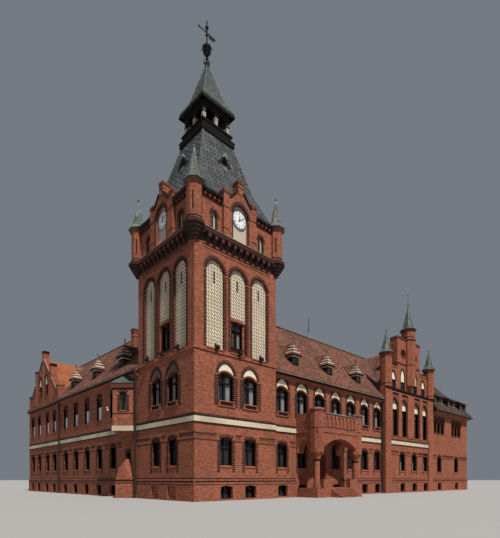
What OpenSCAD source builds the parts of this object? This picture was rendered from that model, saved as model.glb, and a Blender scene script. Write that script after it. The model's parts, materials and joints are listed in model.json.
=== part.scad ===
// Brick town hall with a clock tower on its corner and two wings.
// A model at half the real size: 1 mm here is 2 mm on the building.
// Origin: the middle of the tower, on the ground. +X runs along the main front,
// +Y along the side street, and +Z is up. The main front faces -Y.

/* [Plan] */
// Side of the square tower
tower_w = 3850; // [3600:10:4100]
// Depth of both wings, face to face
wing_depth = 5800; // [5400:10:6200]
// Length of the main front's wing, tower to pavilion
main_len = 8350; // [8250:10:8800]
// Set-back of the main front behind the tower's face
main_setback = 200; // [120:5:260]
// Width of the gabled pavilion
pavilion_w = 5750; // [5600:10:6000]
// Length of the annex beyond the pavilion
annex_len = 6000; // [5600:10:6600]
// Set-back of the annex behind the pavilion's face
annex_setback = 100; // [60:5:160]
// Length of the side wing, tower to its end wall
side_len = 14700; // [14500:10:15200]
// Width of the gable at the side wing's far end
side_gable_w = 5450; // [5200:10:5600]
// Far edge of that gable, back from the end wall
side_gable_inset = 100; // [60:5:160]

/* [Levels] */
// Top of the basement plinth
plinth_h = 750; // [700:5:800]
// Projection of the plinth
plinth_out = 40; // [20:1:60]
// Slope at the top of the plinth
plinth_slope = 40; // [20:1:60]
// Underside of the light band
band_z = 2690; // [2650:5:2730]
// Height of the light band
band_h = 200; // [160:5:240]
// Projection of the light band
band_out = 30; // [15:1:45]
// Top of the wing walls
eaves_z = 5150; // [5050:5:5250]
// Top of the annex walls
annex_eaves_z = 5450; // [5350:5:5550]
// String course on the tower under the tall niches
tower_string_z = 5125; // [5080:5:5180]
// Height of a string course
string_h = 70; // [50:5:90]
// Projection of a string course
string_out = 45; // [25:1:60]
// Top of the tower shaft, under the corbel table
shaft_top_z = 8775; // [8700:5:8850]
// Height of the corbel table
corbel_h = 460; // [400:5:520]
// Height of the clock stage's walls
stage_h = 1265; // [1200:5:1330]

/* [Walls] */
// Thickness of the wing walls
wall_t = 300; // [260:5:340]
// Thickness of the tower walls
tower_wall_t = 400; // [360:5:440]
// Thickness of the floors
floor_t = 120; // [90:5:160]
// Depth of the window glass behind the wall's face
glass_v = 190; // [160:5:210]
// Thickness of the glass
glass_t = 16; // [10:1:24]
// Depth of the plaster heads behind the wall's face
head_v = 25; // [15:5:50]

/* [Windows] */
// Width of a first-floor window
upper_w = 700; // [620:5:760]
// Sill of a first-floor window
upper_sill_z = 3520; // [3450:5:3600]
// Springing of a first-floor pointed arch
upper_spring_z = 4450; // [4380:5:4500]
// Apex of a first-floor pointed arch
upper_apex_z = 4840; // [4780:5:4880]
// Rise of the flat arch under a plaster head
head_rise = 140; // [100:5:180]
// Width of a plain window
plain_w = 560; // [500:5:620]
// Sill of a ground-floor window
ground_sill_z = 1215; // [1150:5:1280]
// Height of a ground-floor window
ground_win_h = 1000; // [920:5:1080]
// Sill of a side-wing upper window
side_sill_z = 3440; // [3380:5:3500]
// Height of a side-wing upper window
side_win_h = 1120; // [1040:5:1180]
// Sill of a basement window
cellar_sill_z = 60; // [40:5:130]
// Height of a basement window
cellar_win_h = 470; // [400:5:500]
// Rise of a flat brick arch
arch_rise = 60; // [40:5:90]
// First window's centre on the main front, from the tower
main_first = 600; // [560:5:640]
// Last window's centre on the main front, from the pavilion
main_last = 448; // [420:1:520]
// First side-wing window's centre, from the tower
side_first = 2300; // [2250:5:2360]
// Spacing of the side wing's windows
side_step = 1450; // [1400:5:1480]
// Offset of the gable bay's near windows
side_bay_near = 750; // [700:5:800]
// Offset of the gable bay's far windows
side_bay_far = 2000; // [1900:5:2100]
// First window's centre in a courtyard wall
yard_first = 1000; // [960:5:1050]
// Spacing of the windows in the courtyard walls
yard_step = 1500; // [1450:5:1560]

/* [Tower shaft] */
// Width of a tall niche
niche_w = 765; // [720:5:800]
// Spacing of the niches
niche_step = 1050; // [1020:5:1090]
// Apex of a niche's arch, below the shaft's top
niche_drop = 445; // [410:5:480]
// Rise of a niche's arch
niche_rise = 410; // [380:5:440]
// Depth of a niche
niche_depth = 130; // [100:5:160]
// Thickness of a niche's plaster panel
niche_panel_t = 50; // [30:5:70]
// Width of the window in the middle niche
niche_win_w = 480; // [440:5:520]
// Sill of that window
niche_win_z = 5500; // [5440:5:5560]
// Height of that window
niche_win_h = 960; // [900:5:1020]
// Offset of a lower tower window
tower_win_x = 575; // [540:5:610]

/* [Corbel table] */
// Projection of the corbel table
corbel_out = 170; // [140:5:200]
// Number of arches on each side
corbel_count = 12; // [10:1:14]
// Width of a corbel block
corbel_block_w = 110; // [90:5:130]
// Height of the corbel blocks
corbel_block_h = 210; // [180:5:240]

/* [Clock stage] */
// Half spacing of the clock bay's side piers
bay_half = 650; // [620:5:680]
// Width of a bay pier
bay_pier_w = 240; // [220:5:260]
// Projection of the clock bay
bay_out = 120; // [100:5:140]
// Depth of the bay's head behind the wall's face
bay_back = 180; // [150:5:210]
// Height of the side piers over the corbel table
bay_side_h = 1665; // [1620:5:1710]
// Height of the middle pier over the corbel table
bay_mid_h = 2265; // [2200:5:2320]
// Drop from a side pier's top to the raked coping
bay_notch = 240; // [200:5:280]
// Drop from the middle pier's top to the raked coping
bay_drop = 390; // [340:5:430]
// Projection of the caps on the piers
bay_cap = 18; // [10:1:25]
// Width of the clock's recess
recess_w = 715; // [700:5:740]
// Apex of that recess over the corbel table
recess_h = 1365; // [1340:5:1400]
// Rise of its arch
recess_rise = 385; // [365:5:400]
// Height of the clock's centre over the corbel table
clock_h = 895; // [870:5:920]
// Radius of the clock face
clock_r = 320; // [300:5:335]
// Thickness of the panel behind the clock
panel_t = 12; // [8:1:20]
// Thickness of the clock face
clock_t = 40; // [30:5:50]
// Radius of the hands' arbor
arbor_r = 12; // [8:1:16]
// Clearance of a hand's boss on its arbor
arbor_clear = 0.3; // [0.2:0.1:0.6]
// Length of the minute hand
minute_len = 262; // [240:2:270]
// Length of the hour hand
hour_len = 172; // [155:1:185]
// Thickness of a hand
hand_t = 8; // [6:1:10]
// Space in front of and behind a hand
hand_gap = 8; // [6:1:10]
// Angle of the hour hand past twelve
hour_angle = 5; // [0:1:359]
// Angle of the minute hand past twelve
minute_angle = 60; // [0:1:359]
// Offset of a small arched recess
slit_x = 1110; // [1060:5:1160]

/* [Corner turrets] */
// Width of a corner turret
turret_w = 490; // [460:5:520]
// Width of the bowl under a turret
bowl_w = 690; // [650:5:720]
// Depth of that bowl
bowl_h = 525; // [480:5:560]
// Number of rings in the bowl
bowl_rings = 5; // [4:1:6]
// Height of a turret over the stage
turret_rise = 40; // [20:5:80]
// Width of a turret's eaves
turret_eave_w = 690; // [650:5:720]
// Height of a turret's spire
turret_spire_h = 1290; // [1230:5:1340]
// Radius of the ball on a spire
ball_r = 45; // [35:1:55]
// Width of a spire at its neck
helm_neck = 44; // [36:1:52]

/* [Tower roof] */
// Half width of the roof at its top
roof_top_half = 700; // [660:5:740]
// Height of the roof's top over the stage
roof_top_h = 3380; // [3320:5:3440]
// Half width of the steep slope's foot
roof_knee_half = 1280; // [1240:5:1320]
// Height of the steep slope's foot over the stage
roof_knee_h = 1400; // [1350:5:1450]
// Half width of the flare's upper edge
roof_flare_half = 1760; // [1720:5:1800]
// Height of the flare's upper edge over the stage
roof_flare_h = 330; // [300:5:370]
// Width of a hooded vent in the roof
vent_w = 555; // [520:5:590]
// Height of a vent's foot over the stage
vent_foot_h = 2060; // [2020:5:2100]
// Height of a vent
vent_h = 400; // [370:5:430]
// Set-back of a vent's front
vent_v = 820; // [800:5:835]
// Overhang of the tower roof
roof_over = 140; // [110:5:170]
// Thickness of a roof, measured upright
roof_t = 160; // [130:5:190]

/* [Lantern] */
// Half width of the lantern's lower cornice
lantern_cornice_half = 775; // [750:5:800]
// Height of the lower cornice
lantern_cornice_h = 220; // [190:5:250]
// Half width of the parapet over the cornice
lantern_half = 680; // [660:5:700]
// Height of the parapet
lantern_parapet_h = 250; // [210:5:290]
// Half width over the posts
post_half = 620; // [600:5:640]
// Width of a post
post_w = 120; // [100:5:140]
// Height of the posts
post_h = 730; // [690:5:770]
// Rise of the arched braces
brace_rise = 330; // [290:5:360]
// Height of the plate over the posts
plate_h = 130; // [110:5:150]
// Half width of the spire's eaves
spire_half = 775; // [750:5:800]
// Half width of the spire above its flare
spire_neck_half = 500; // [470:5:530]
// Half width of the spire's tip
spire_tip_half = 50; // [40:1:60]
// Rise of the spire's flare
spire_flare_h = 470; // [430:5:510]
// Height of the steep part of the spire
spire_h = 1640; // [1580:5:1700]

/* [Finial and vane] */
// Radius of the finial rod
rod_r = 26; // [20:1:32]
// Length of the finial rod over the spire
rod_h = 1804; // [1740:5:1850]
// Drop from the rod's tip to the vane's arm
vane_drop = 460; // [430:5:490]
// Height of the crown's foot over the spire
crown_foot = 424; // [380:5:460]
// Height of the crown
crown_h = 330; // [300:5:360]
// Length of the vane's arm
vane_len = 780; // [720:10:840]
// Radius of the vane's sleeve
vane_sleeve_r = 44; // [40:1:50]
// Clearance of the sleeve on the rod
vane_clear = 0.3; // [0.2:0.1:0.8]

/* [Wing roofs] */
// Rise of the wing roofs over the walls
roof_rise = 3100; // [3000:10:3200]
// Overhang of the eaves
eave_out = 145; // [120:5:180]
// Overhang of the annex eaves
annex_eave_out = 330; // [300:5:380]
// Slope of the annex roof, rise over run
annex_slope = 0.95; // [0.9:0.01:1]
// Drop of the boxed eaves under the wall's top
eave_box_drop = 175; // [165:5:200]
// Drop of the annex's boxed eaves
annex_box_drop = 330; // [320:5:400]
// Overhang of the annex roof at its end
verge_out = 40; // [20:5:80]
// Set-back of a dormer's front
dormer_back = 350; // [320:5:380]
// Width of a dormer
dormer_w = 380; // [350:5:420]
// Overhang of a dormer's cap
dormer_over = 95; // [80:5:115]
// Height of a dormer's eaves over the wall's top
dormer_h = 960; // [920:5:1000]
// Height of a dormer's roof
dormer_roof_h = 620; // [580:5:660]

/* [Pavilion] */
// Offset of the inner lancets
lancet_near = 750; // [720:5:780]
// Offset of the outer lancets
lancet_far = 1800; // [1760:5:1840]
// Width of a lancet
lancet_w = 600; // [560:5:640]
// Offset of the pavilion's lower windows
pavilion_shift = 475; // [450:5:500]
// Spacing of those windows
pavilion_step = 1450; // [1400:5:1480]
// Sill of the tall lancets
lancet_sill_z = 3150; // [3100:5:3200]
// Apex of the tall lancets
lancet_apex_z = 5240; // [5200:5:5280]
// Rise of a lancet's arch
lancet_rise = 480; // [440:5:520]
// String course under the gable
gable_z = 5750; // [5700:5:5800]
// Top of the gable's outer bays
gable_side_z = 7120; // [7060:5:7180]
// Top of the gable's middle block
gable_top_z = 8800; // [8740:5:8850]
// Half width of the middle block
gable_mid_half = 1350; // [1310:5:1390]
// Thickness of the gable
gable_t = 300; // [260:5:340]
// Set-back of the gable
gable_back = 100; // [60:5:130]
// Depth of the gable's middle block
gable_mid_t = 460; // [420:5:500]
// Height of the round windows' centre
oculus_z = 7930; // [7880:5:7980]
// Radius of a round window
oculus_r = 190; // [170:5:210]
// Offset of a round window
oculus_x = 700; // [660:5:740]
// Width of a lancet in the gable
gable_lancet_w = 425; // [390:5:450]
// Apex of the gable's inner lancets over its foot
near_apex_h = 1250; // [1200:5:1290]
// Apex of its outer lancets
far_apex_h = 1000; // [950:5:1050]
// Width of a side turret
side_turret_w = 575; // [550:5:600]
// Top of a side turret's brickwork
side_turret_z = 7540; // [7500:5:7580]
// Tip of a side turret's spire
side_tip_z = 8850; // [8780:5:8920]
// Width of the middle turret
mid_turret_w = 760; // [720:5:800]
// Narrowing of the middle turret's upper stage
mid_step = 50; // [30:5:70]
// Set-back of the middle turret's centre
mid_turret_v = 150; // [120:5:175]
// Top of the middle turret's lower stage
mid_turret_z = 8875; // [8830:5:8920]
// Top of the middle turret's brickwork
mid_top_z = 9400; // [9350:5:9450]
// Tip of the middle turret's spire
mid_tip_z = 10950; // [10850:10:11050]

/* [Annex] */
// First triple window's centre
annex_first = 1275; // [1240:5:1320]
// Distance to the second triple window
annex_step = 2775; // [2700:5:2840]
// Width of one light
annex_light_w = 460; // [430:5:490]
// Spacing of the lights
annex_light_step = 570; // [550:5:600]
// Sill of the lights
annex_sill_z = 3720; // [3660:5:3780]
// Apex of the lights
annex_apex_z = 4760; // [4700:5:4820]
// Width of an annex dormer
annex_dormer_w = 1000; // [940:5:1060]
// Height of an annex dormer's front over the eaves
annex_dormer_h = 720; // [680:5:780]
// Slope of an annex dormer's roof
annex_dormer_slope = 0.5; // [0.45:0.01:0.6]
// First annex dormer's middle
annex_dormer_first = 1150; // [1100:5:1200]
// Spacing of the annex dormers
annex_dormer_step = 2080; // [2000:5:2150]

/* [Side gable] */
// Slope of the side gable's coping
side_gable_slope = 1; // [0.97:0.01:1.03]
// Height of the coping's foot over the wall's top
side_gable_foot = 235; // [200:5:270]
// Slope of the roof behind the side gable
side_gable_pitch = 0.95; // [0.93:0.01:0.97]
// Offset of a gable window
gable_win_x = 550; // [500:5:600]
// Width of a gable window
gable_win_w = 450; // [410:5:490]
// Sill of a gable window over the wall's top
gable_sill_h = 550; // [500:5:600]
// Apex of a gable window over the wall's top
gable_apex_h = 1750; // [1700:5:1800]
// Width of a gable pier
gable_pier_w = 250; // [220:5:280]
// Offset of the shoulder piers
shoulder_x = 1335; // [1300:5:1380]
// Height of the apex pier over the wall's top
apex_pier_h = 3300; // [3240:5:3360]
// Height of the shoulder piers
shoulder_pier_h = 2300; // [2240:5:2360]
// Height of the foot piers
foot_pier_h = 900; // [850:5:960]

/* [Oriel] */
// Middle of the oriel, from the tower
oriel_y = 825; // [800:5:860]
// Half width of the oriel
oriel_half = 600; // [570:5:630]
// Depth of the oriel's short sides
oriel_side = 90; // [70:5:110]
// Projection of the oriel's edge
oriel_out = 680; // [650:5:710]
// Projection of the spur under it
spur_out = 560; // [520:5:600]
// Top of the spur's weathered head
spur_top_z = 1580; // [1500:5:1650]
// Thickness of the oriel's walls
oriel_t = 150; // [120:5:170]
// Depth of the corbel under the oriel
oriel_corbel_h = 690; // [640:5:740]
// Top of the oriel's walls
oriel_top_z = 4400; // [4360:5:4440]
// Height of the oriel's boxed eaves
oriel_eave_h = 215; // [190:5:240]
// Rise of the oriel's roof
oriel_roof_h = 480; // [440:5:520]
// Overhang of the oriel's roof
oriel_over = 70; // [50:5:90]
// Width of an oriel window
oriel_win_w = 280; // [260:5:300]
// Sill of an oriel window
oriel_sill_z = 3520; // [3480:5:3560]
// Height of an oriel window
oriel_win_h = 715; // [680:5:740]
// Width of the small window under the oriel
small_win_w = 400; // [370:5:430]
// Height of that window
small_win_h = 705; // [670:5:740]
// Its distance from the tower
small_win_u = 865; // [840:5:900]

/* [Portal] */
// Window over the portal's middle, counted from the tower
portal_index = 2; // [2:1:3]
// Half width of the portal
portal_half = 1585; // [1540:5:1620]
// Projection of the portal from the main front
portal_out = 1150; // [1080:5:1220]
// Height of the portal's floor
portal_floor_z = 385; // [360:5:410]
// Number of steps up to it
step_count = 5; // [4:1:6]
// Tread of a step
step_tread = 150; // [130:5:170]
// Radius of a portal column
column_r = 125; // [110:5:140]
// Underside of the column's capital
column_top_z = 1540; // [1500:5:1580]
// Top of the balcony's parapet
parapet_z = 3490; // [3440:5:3540]
// Thickness of the balcony's parapet
parapet_t = 110; // [90:5:130]
// Width of the balcony's corner posts
balcony_post_w = 550; // [520:5:580]
// Height of the corner posts over the parapet
balcony_post_rise = 145; // [120:5:170]
// Width of the doorway
door_w = 900; // [840:5:960]
// Apex of the doorway
door_apex_z = 2300; // [2240:5:2360]
// Rise of the doorway's arch
door_rise = 470; // [455:5:520]

/* [Chimney and pipes] */
// Width of the chimney
chimney_w = 290; // [270:5:310]
// Its distance from the side wing's ridge
chimney_in = 675; // [640:5:710]
// Its distance from the tower
chimney_y = 4650; // [4550:10:4750]
// Height of its top over the ridge
chimney_rise = 20; // [0:5:60]
// Height of its stepped crown
crown_ring_h = 60; // [50:5:70]
// Radius of a downpipe
pipe_r = 38; // [32:1:44]
// Distance of a downpipe's middle from the wall
pipe_out = 100; // [90:5:110]

/* [Hidden] */
$fn = 48;

brick = [0.66, 0.33, 0.22];
plaster = [0.86, 0.82, 0.70];
slate = [0.29, 0.32, 0.34];
tile = [0.55, 0.27, 0.20];
orange_tile = [0.72, 0.34, 0.20];
timber = [0.16, 0.13, 0.12];
iron = [0.12, 0.12, 0.13];
pane = [0.35, 0.42, 0.48, 0.6];
concrete = [0.62, 0.60, 0.57];
cut = 20;
seat = 0.3;

tower_half = tower_w / 2;
front_y = -tower_half;
side_x = -tower_half;
main_y = front_y + main_setback;
annex_y = front_y + annex_setback;
back_y = main_y + wing_depth;
yard_x = side_x + wing_depth;
main_x = tower_half;
pavilion_x = main_x + main_len;
annex_x = pavilion_x + pavilion_w;
end_x = annex_x + annex_len;
side_y = tower_half;
end_y = side_y + side_len;
side_gable_far = end_y - side_gable_inset;
side_gable_near = side_gable_far - side_gable_w;
side_gable_y = side_gable_far - side_gable_w / 2;
slope = roof_rise / (wing_depth / 2);
annex_depth = back_y - annex_y;
corbel_top_z = shaft_top_z + corbel_h;
stage_z = corbel_top_z + stage_h;
tower_inner = tower_half - tower_wall_t;
band_top_z = band_z + band_h;
niche_apex_z = shaft_top_z - niche_drop;
niche_spring_z = niche_apex_z - niche_rise;
bay_side_z = corbel_top_z + bay_side_h;
bay_top_z = corbel_top_z + bay_mid_h;
clock_z = corbel_top_z + clock_h;
turret_top_z = stage_z + turret_rise;
turret_tip_z = turret_top_z + turret_spire_h;
roof_top_z = stage_z + roof_top_h;
roof_knee_z = stage_z + roof_knee_h;
roof_flare_z = stage_z + roof_flare_h;
vent_z = stage_z + vent_foot_h;
main_step = (main_len - main_first - main_last) / 6;
lantern_z = roof_top_z - 80;
parapet_base_z = lantern_z + lantern_cornice_h;
post_z = parapet_base_z + lantern_parapet_h;
plate_z = post_z + post_h;
spire_z = plate_z + plate_h;
spire_top_z = spire_z + spire_flare_h + spire_h;
spire_tip_z = spire_top_z - spire_h * spire_tip_half / spire_neck_half;
rod_tip_z = spire_tip_z + rod_h;
vane_z = rod_tip_z - vane_drop;
portal_x = main_x + main_first + portal_index * main_step;
main_windows = [for (i = [0:6]) main_first + i * main_step];
side_windows = [for (i = [0:4]) side_first + i * side_step];
side_bay = [for (d = [-side_bay_far, -side_bay_near, side_bay_near, side_bay_far]) side_gable_y - side_y + d];
lancets = [for (d = [-lancet_far, -lancet_near, lancet_near, lancet_far]) pavilion_w / 2 + d];
pavilion_windows = [for (i = [-1:1]) pavilion_w / 2 + pavilion_shift + i * pavilion_step];

// Points on a circle from angle a to angle b
function arc(cx, cy, r, a, b, n) =
  [for (i = [0:n]) [cx + r * cos(a + (b - a) * i / n), cy + r * sin(a + (b - a) * i / n)]];

// Centre offset of the two arcs of a pointed arch
function pointed_c(w, rise) = (rise * rise - w * w / 4) / w;

// The curve of a pointed arch, from its right springing over the apex to the left one
function pointed_curve(w, spring, apex, n) =
  let (c = pointed_c(w, apex - spring), r = c + w / 2, a = atan2(apex - spring, c))
  concat(arc(-c, spring, r, 0, a, n), [for (i = [1:n]) arc(c, spring, r, 180 - a, 180, n)[i]]);

// Outline of a pointed opening standing on bottom
function pointed(w, bottom, spring, apex, n = 5) =
  concat([[-w / 2, bottom], [w / 2, bottom]], pointed_curve(w, spring, apex, n));

// The curve of a flat arch, from its right springing to its left one
function flat_curve(w, spring, rise, n) =
  let (r = (w * w / 4 + rise * rise) / (2 * rise), a = asin(w / 2 / r))
  arc(0, spring + rise - r, r, 90 - a, 90 + a, n);

// Outline of an opening with a flat arch
function flat_arch(w, bottom, h, rise = arch_rise, n = 4) =
  concat([[-w / 2, bottom], [w / 2, bottom]], flat_curve(w, bottom + h - rise, rise, n));

// Height of a roof's underside at distance d inside the wall's face
function under(z, d, s) = z + d * s;

// Places children on each wall line: x runs along the wall, y goes inward, z is up
module on_front(x, y) translate([x, y, 0]) children();
module on_side(x, y) translate([x, y, 0]) rotate([0, 0, 90]) mirror([0, 1, 0]) children();
module on_back(x, y) translate([x, y, 0]) mirror([0, 1, 0]) children();
module on_yard(x, y) translate([x, y, 0]) rotate([0, 0, 90]) children();
module tower_face(k) rotate([0, 0, -90 * k]) translate([0, -tower_half, 0]) children();

// A slab of an upright outline, from depth v to v + t behind the wall's face
module upright(points, v, t) translate([0, v + t, 0]) rotate([90, 0, 0]) linear_extrude(t) polygon(points);

module row(places) for (u = places) translate([u, 0, 0]) children();

module upper_pane(v, t) upright(pointed(upper_w, upper_sill_z, upper_spring_z, upper_apex_z), v, t);
module ground_pane(v, t) upright(flat_arch(plain_w, ground_sill_z, ground_win_h), v, t);
module side_pane(v, t) upright(flat_arch(plain_w, side_sill_z, side_win_h), v, t);
module cellar_pane(v, t) upright(flat_arch(plain_w, cellar_sill_z, cellar_win_h), v, t);
module small_pane(v, t)
  translate([small_win_u, 0, 0]) upright(flat_arch(small_win_w, ground_sill_z, small_win_h), v, t);
module lancet_pane(v, t)
  upright(pointed(lancet_w, lancet_sill_z, lancet_apex_z - lancet_rise, lancet_apex_z), v, t);

// A plaster head: the pointed arch over a flat brick arch
module pointed_head() {
  flat = flat_curve(upper_w, upper_spring_z, head_rise, 4);
  upright(concat(pointed_curve(upper_w, upper_spring_z, upper_apex_z, 5), [for (i = [4:-1:0]) flat[i]]),
    head_v, head_t);
}

// A course round the tower: a block with a sloped top on the two street sides only
module street_block(z, h, out, drop) {
  profile = [[-tower_half - out, z], [tower_half, z], [tower_half, z + h], [-tower_half, z + h],
    [-tower_half - out, z + h - drop]];
  intersection() {
    translate([0, tower_half, 0]) rotate([90, 0, 0])
      linear_extrude(tower_w + out) polygon(profile);
    translate([-tower_half - out, 0, 0]) rotate([90, 0, 90])
      linear_extrude(tower_w + out) polygon(profile);
  }
}

module square_block(half, z, h) translate([-half, -half, z]) cube([2 * half, 2 * half, h]);

module tower_ring(z, h) difference() {
  square_block(tower_half, z, h);
  square_block(tower_inner, z - cut, h + 2 * cut);
}

// A square roof whose upright outline is a half profile of [half width, height] points
module square_roof(profile) {
  outline = concat(profile, [for (i = [len(profile) - 1:-1:0]) [-profile[i].x, profile[i].y]]);
  reach = 2 * max([for (p = profile) p.x]) + 2 * cut;
  intersection() {
    translate([0, reach / 2, 0]) rotate([90, 0, 0]) linear_extrude(reach) polygon(outline);
    translate([-reach / 2, 0, 0]) rotate([90, 0, 90]) linear_extrude(reach) polygon(outline);
  }
}

module octagon(w, z, h) translate([0, 0, z]) rotate([0, 0, 22.5])
  cylinder(h = h, r = w / 2 / cos(22.5), $fn = 8);

// The same with eight sides
module octagon_roof(profile) intersection() {
  square_roof(profile);
  rotate([0, 0, 45]) square_roof(profile);
}

// Upright outline of a double-pitched roof of width w over walls that end at z
function roof_outer(w, z, s, out) = [
  [-out, under(z, -out, s)], [0, z], [w, z], [w + out, under(z, -out, s)],
  [w + out, under(z, -out, s) + roof_t], [w / 2, under(z, w / 2, s) + roof_t],
  [-out, under(z, -out, s) + roof_t]
];
// The attic's outline, with its foot dropped below the wall's top for a cut
function roof_inner(w, z, s, foot = cut) = [
  [wall_t, z - foot], [w - wall_t, z - foot], [w - wall_t, under(z, wall_t, s)],
  [w / 2, under(z, w / 2, s)], [wall_t, under(z, wall_t, s)]
];

// All that lies under the tiles of a roof, for what stands on it
function below(z, s) = [[-wing_depth, under(z, -wing_depth, s) + roof_t + seat],
  [wing_depth, under(z, wing_depth, s) + roof_t + seat], [wing_depth, 0], [-wing_depth, 0]];

// Prisms of the roofs: along X over the main wing and the annex, along Y over the side wing
module along_x(x, y, len, points) translate([x, y, 0]) rotate([90, 0, 90]) linear_extrude(len) polygon(points);
module along_y(x, y, len, points) translate([x, y, 0]) upright(points, 0, len);

main_roof_from = side_x + wing_depth / 2;
side_ridge_x = side_x + wing_depth / 2;
main_ridge_y = main_y + wing_depth / 2;
module main_prism(points, extra = 0)
  along_x(main_roof_from, main_y, annex_x - main_roof_from + extra, points);
module side_prism(points, extra = 0)
  along_y(side_x, side_y - extra, end_y - side_y + 2 * extra, points);
module main_hollow() main_prism(roof_inner(wing_depth, eaves_z, slope), cut);
module side_hollow() side_prism(roof_inner(wing_depth, eaves_z, slope), cut);
module pavilion_prism(points)
  along_y(pavilion_x, front_y + gable_t, main_ridge_y - front_y - gable_t, points);
module side_gable_prism(points)
  along_x(side_x + gable_t, side_gable_near, side_ridge_x - side_x - gable_t, points);

module main_body() translate([main_x, main_y, 0]) cube([annex_x - main_x, wing_depth, eaves_z]);
module side_body() translate([side_x, side_y, 0]) cube([wing_depth + eave_out, side_len, eaves_z]);

module tower_stand() {
  square_block(tower_half, 0, spire_top_z);
  translate([side_x, front_y - eave_out - cut, 0]) cube([tower_w, tower_w / 2, spire_top_z]);
  translate([side_x - eave_out - cut, front_y, 0]) cube([tower_w / 2, tower_w, spire_top_z]);
}

// Floors

module floor_plan(z, t) {
  translate([side_x + wall_t, side_y, z]) cube([wing_depth - 2 * wall_t, side_len - wall_t, t]);
  translate([main_x, main_y + wall_t, z]) cube([end_x - main_x - wall_t, wing_depth - 2 * wall_t, t]);
  translate([pavilion_x, front_y + wall_t, z]) cube([pavilion_w, wing_depth - 2 * wall_t, t]);
  translate([annex_x, annex_y + wall_t, z]) cube([annex_len - wall_t, wing_depth - 2 * wall_t, t]);
}

module basement_floor() color(concrete) {
  union() floor_plan(0, floor_t);
  square_block(tower_inner, 0, floor_t);
}

module ground_floor() color(concrete) {
  union() floor_plan(plinth_h - floor_t, floor_t);
  square_block(tower_inner, plinth_h - floor_t, floor_t);
}

module first_floor() color(concrete) {
  union() floor_plan(band_z, floor_t);
  square_block(tower_inner, band_z, floor_t);
}

module attic_floor() color(concrete) union() floor_plan(eaves_z - floor_t, floor_t);

module tower_floors() color(concrete) {
  square_block(tower_inner, tower_string_z, floor_t);
  square_block(tower_inner, shaft_top_z, floor_t);
  square_block(tower_inner, stage_z - floor_t, floor_t);
}

// Tower

module tower_pair() row([-tower_win_x, tower_win_x]) children();
module tower_panes(v, t) {
  for (k = [0, 1]) tower_face(k) tower_pair() {
    upper_pane(v, t);
    ground_pane(v, t);
  }
  tower_face(0) tower_pair() cellar_pane(v, t);
}

module tower_base() color(brick) difference() {
  union() {
    tower_ring(0, tower_string_z);
    difference() {
      street_block(0, plinth_h, plinth_out, plinth_slope);
      square_block(tower_inner, -cut, tower_string_z);
    }
  }
  tower_panes(cut_v, tower_wall_t + plinth_out + 2 * cut);
  tower_face(1) tower_pair() cellar_pane(cut_v, plinth_out + head_v + cut);
}

module niche_shape(v, t)
  upright(pointed(niche_w, tower_string_z + string_h + 60, niche_spring_z, niche_apex_z), v, t);
module niche_window(v, t) upright(flat_arch(niche_win_w, niche_win_z, niche_win_h), v, t);

module tower_shaft() color(brick) difference() {
  union() {
    tower_ring(tower_string_z, shaft_top_z - tower_string_z);
    difference() {
      street_block(tower_string_z, string_h, string_out, string_h / 2);
      square_block(tower_inner, tower_string_z - cut, string_h + 2 * cut);
    }
  }
  for (k = [0, 1]) tower_face(k) {
    row([-niche_step, 0, niche_step]) niche_shape(-cut, niche_depth + cut);
    niche_window(-cut, tower_wall_t + 2 * cut);
  }
}

module niche_panels() color(plaster) for (k = [0:3]) tower_face(k) {
  if (k < 2) {
    row([-niche_step, niche_step]) niche_shape(niche_depth - niche_panel_t, niche_panel_t);
    difference() {
      niche_shape(niche_depth - niche_panel_t, niche_panel_t);
      translate([-niche_w, 0, 0]) cube([2 * niche_w, niche_depth + cut, niche_win_z + niche_win_h]);
    }
  }
  row([-slit_x, slit_x]) slit_shape(niche_depth - niche_panel_t, niche_panel_t);
  clock_recess(-panel_t, panel_t);
}

module corbel_block() {
  side = [[0, shaft_top_z + corbel_block_h], [0, shaft_top_z], [-corbel_out / 2, shaft_top_z + 50],
    [-corbel_out / 2, shaft_top_z + 120], [-corbel_out, shaft_top_z + 150],
    [-corbel_out, shaft_top_z + corbel_block_h]];
  translate([-corbel_block_w / 2, 0, 0]) rotate([90, 0, 90]) linear_extrude(corbel_block_w) polygon(side);
}

module corbel_table() color(brick) {
  pitch = (tower_w - turret_w) / corbel_count;
  arch_r = (pitch - corbel_block_w) / 2;
  difference() {
    union() {
      square_block(tower_half + corbel_out, shaft_top_z + corbel_block_h, corbel_h - corbel_block_h);
      square_block(tower_half, shaft_top_z, corbel_h);
      for (k = [0:3]) tower_face(k) row([for (i = [1:corbel_count - 1]) (i - corbel_count / 2) * pitch])
        corbel_block();
    }
    square_block(tower_inner, shaft_top_z - cut, corbel_h + 2 * cut);
    at_corners(tower_half) difference() {
      turret_shape();
      translate([0, 0, shaft_top_z - cut]) cube(tower_half);
    }
    at_corners(tower_half + corbel_out) translate([-cut, -cut, shaft_top_z])
      cube([cut + 30, cut + 30, corbel_h - 2 * bowl_h / bowl_rings]);
    for (k = [0:3]) tower_face(k) row([for (i = [0:corbel_count - 1]) (i + 0.5 - corbel_count / 2) * pitch])
      upright(arc(0, shaft_top_z + corbel_block_h - 1, arch_r, 0, 180, 6), -corbel_out - cut,
        corbel_out + cut);
  }
}

module slit_shape(v, t)
  upright(pointed(200, corbel_top_z + 90, corbel_top_z + 560, corbel_top_z + 760, 4), v, t);
module clock_recess(v, t)
  upright(pointed(recess_w, corbel_top_z + 40, corbel_top_z + recess_h - recess_rise, corbel_top_z + recess_h, 6), v, t);

module clock_stage() color(brick) difference() {
  tower_ring(corbel_top_z, stage_h);
  for (k = [0:3]) tower_face(k) row([-slit_x, slit_x]) slit_shape(-cut, niche_depth + cut);
}

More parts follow.
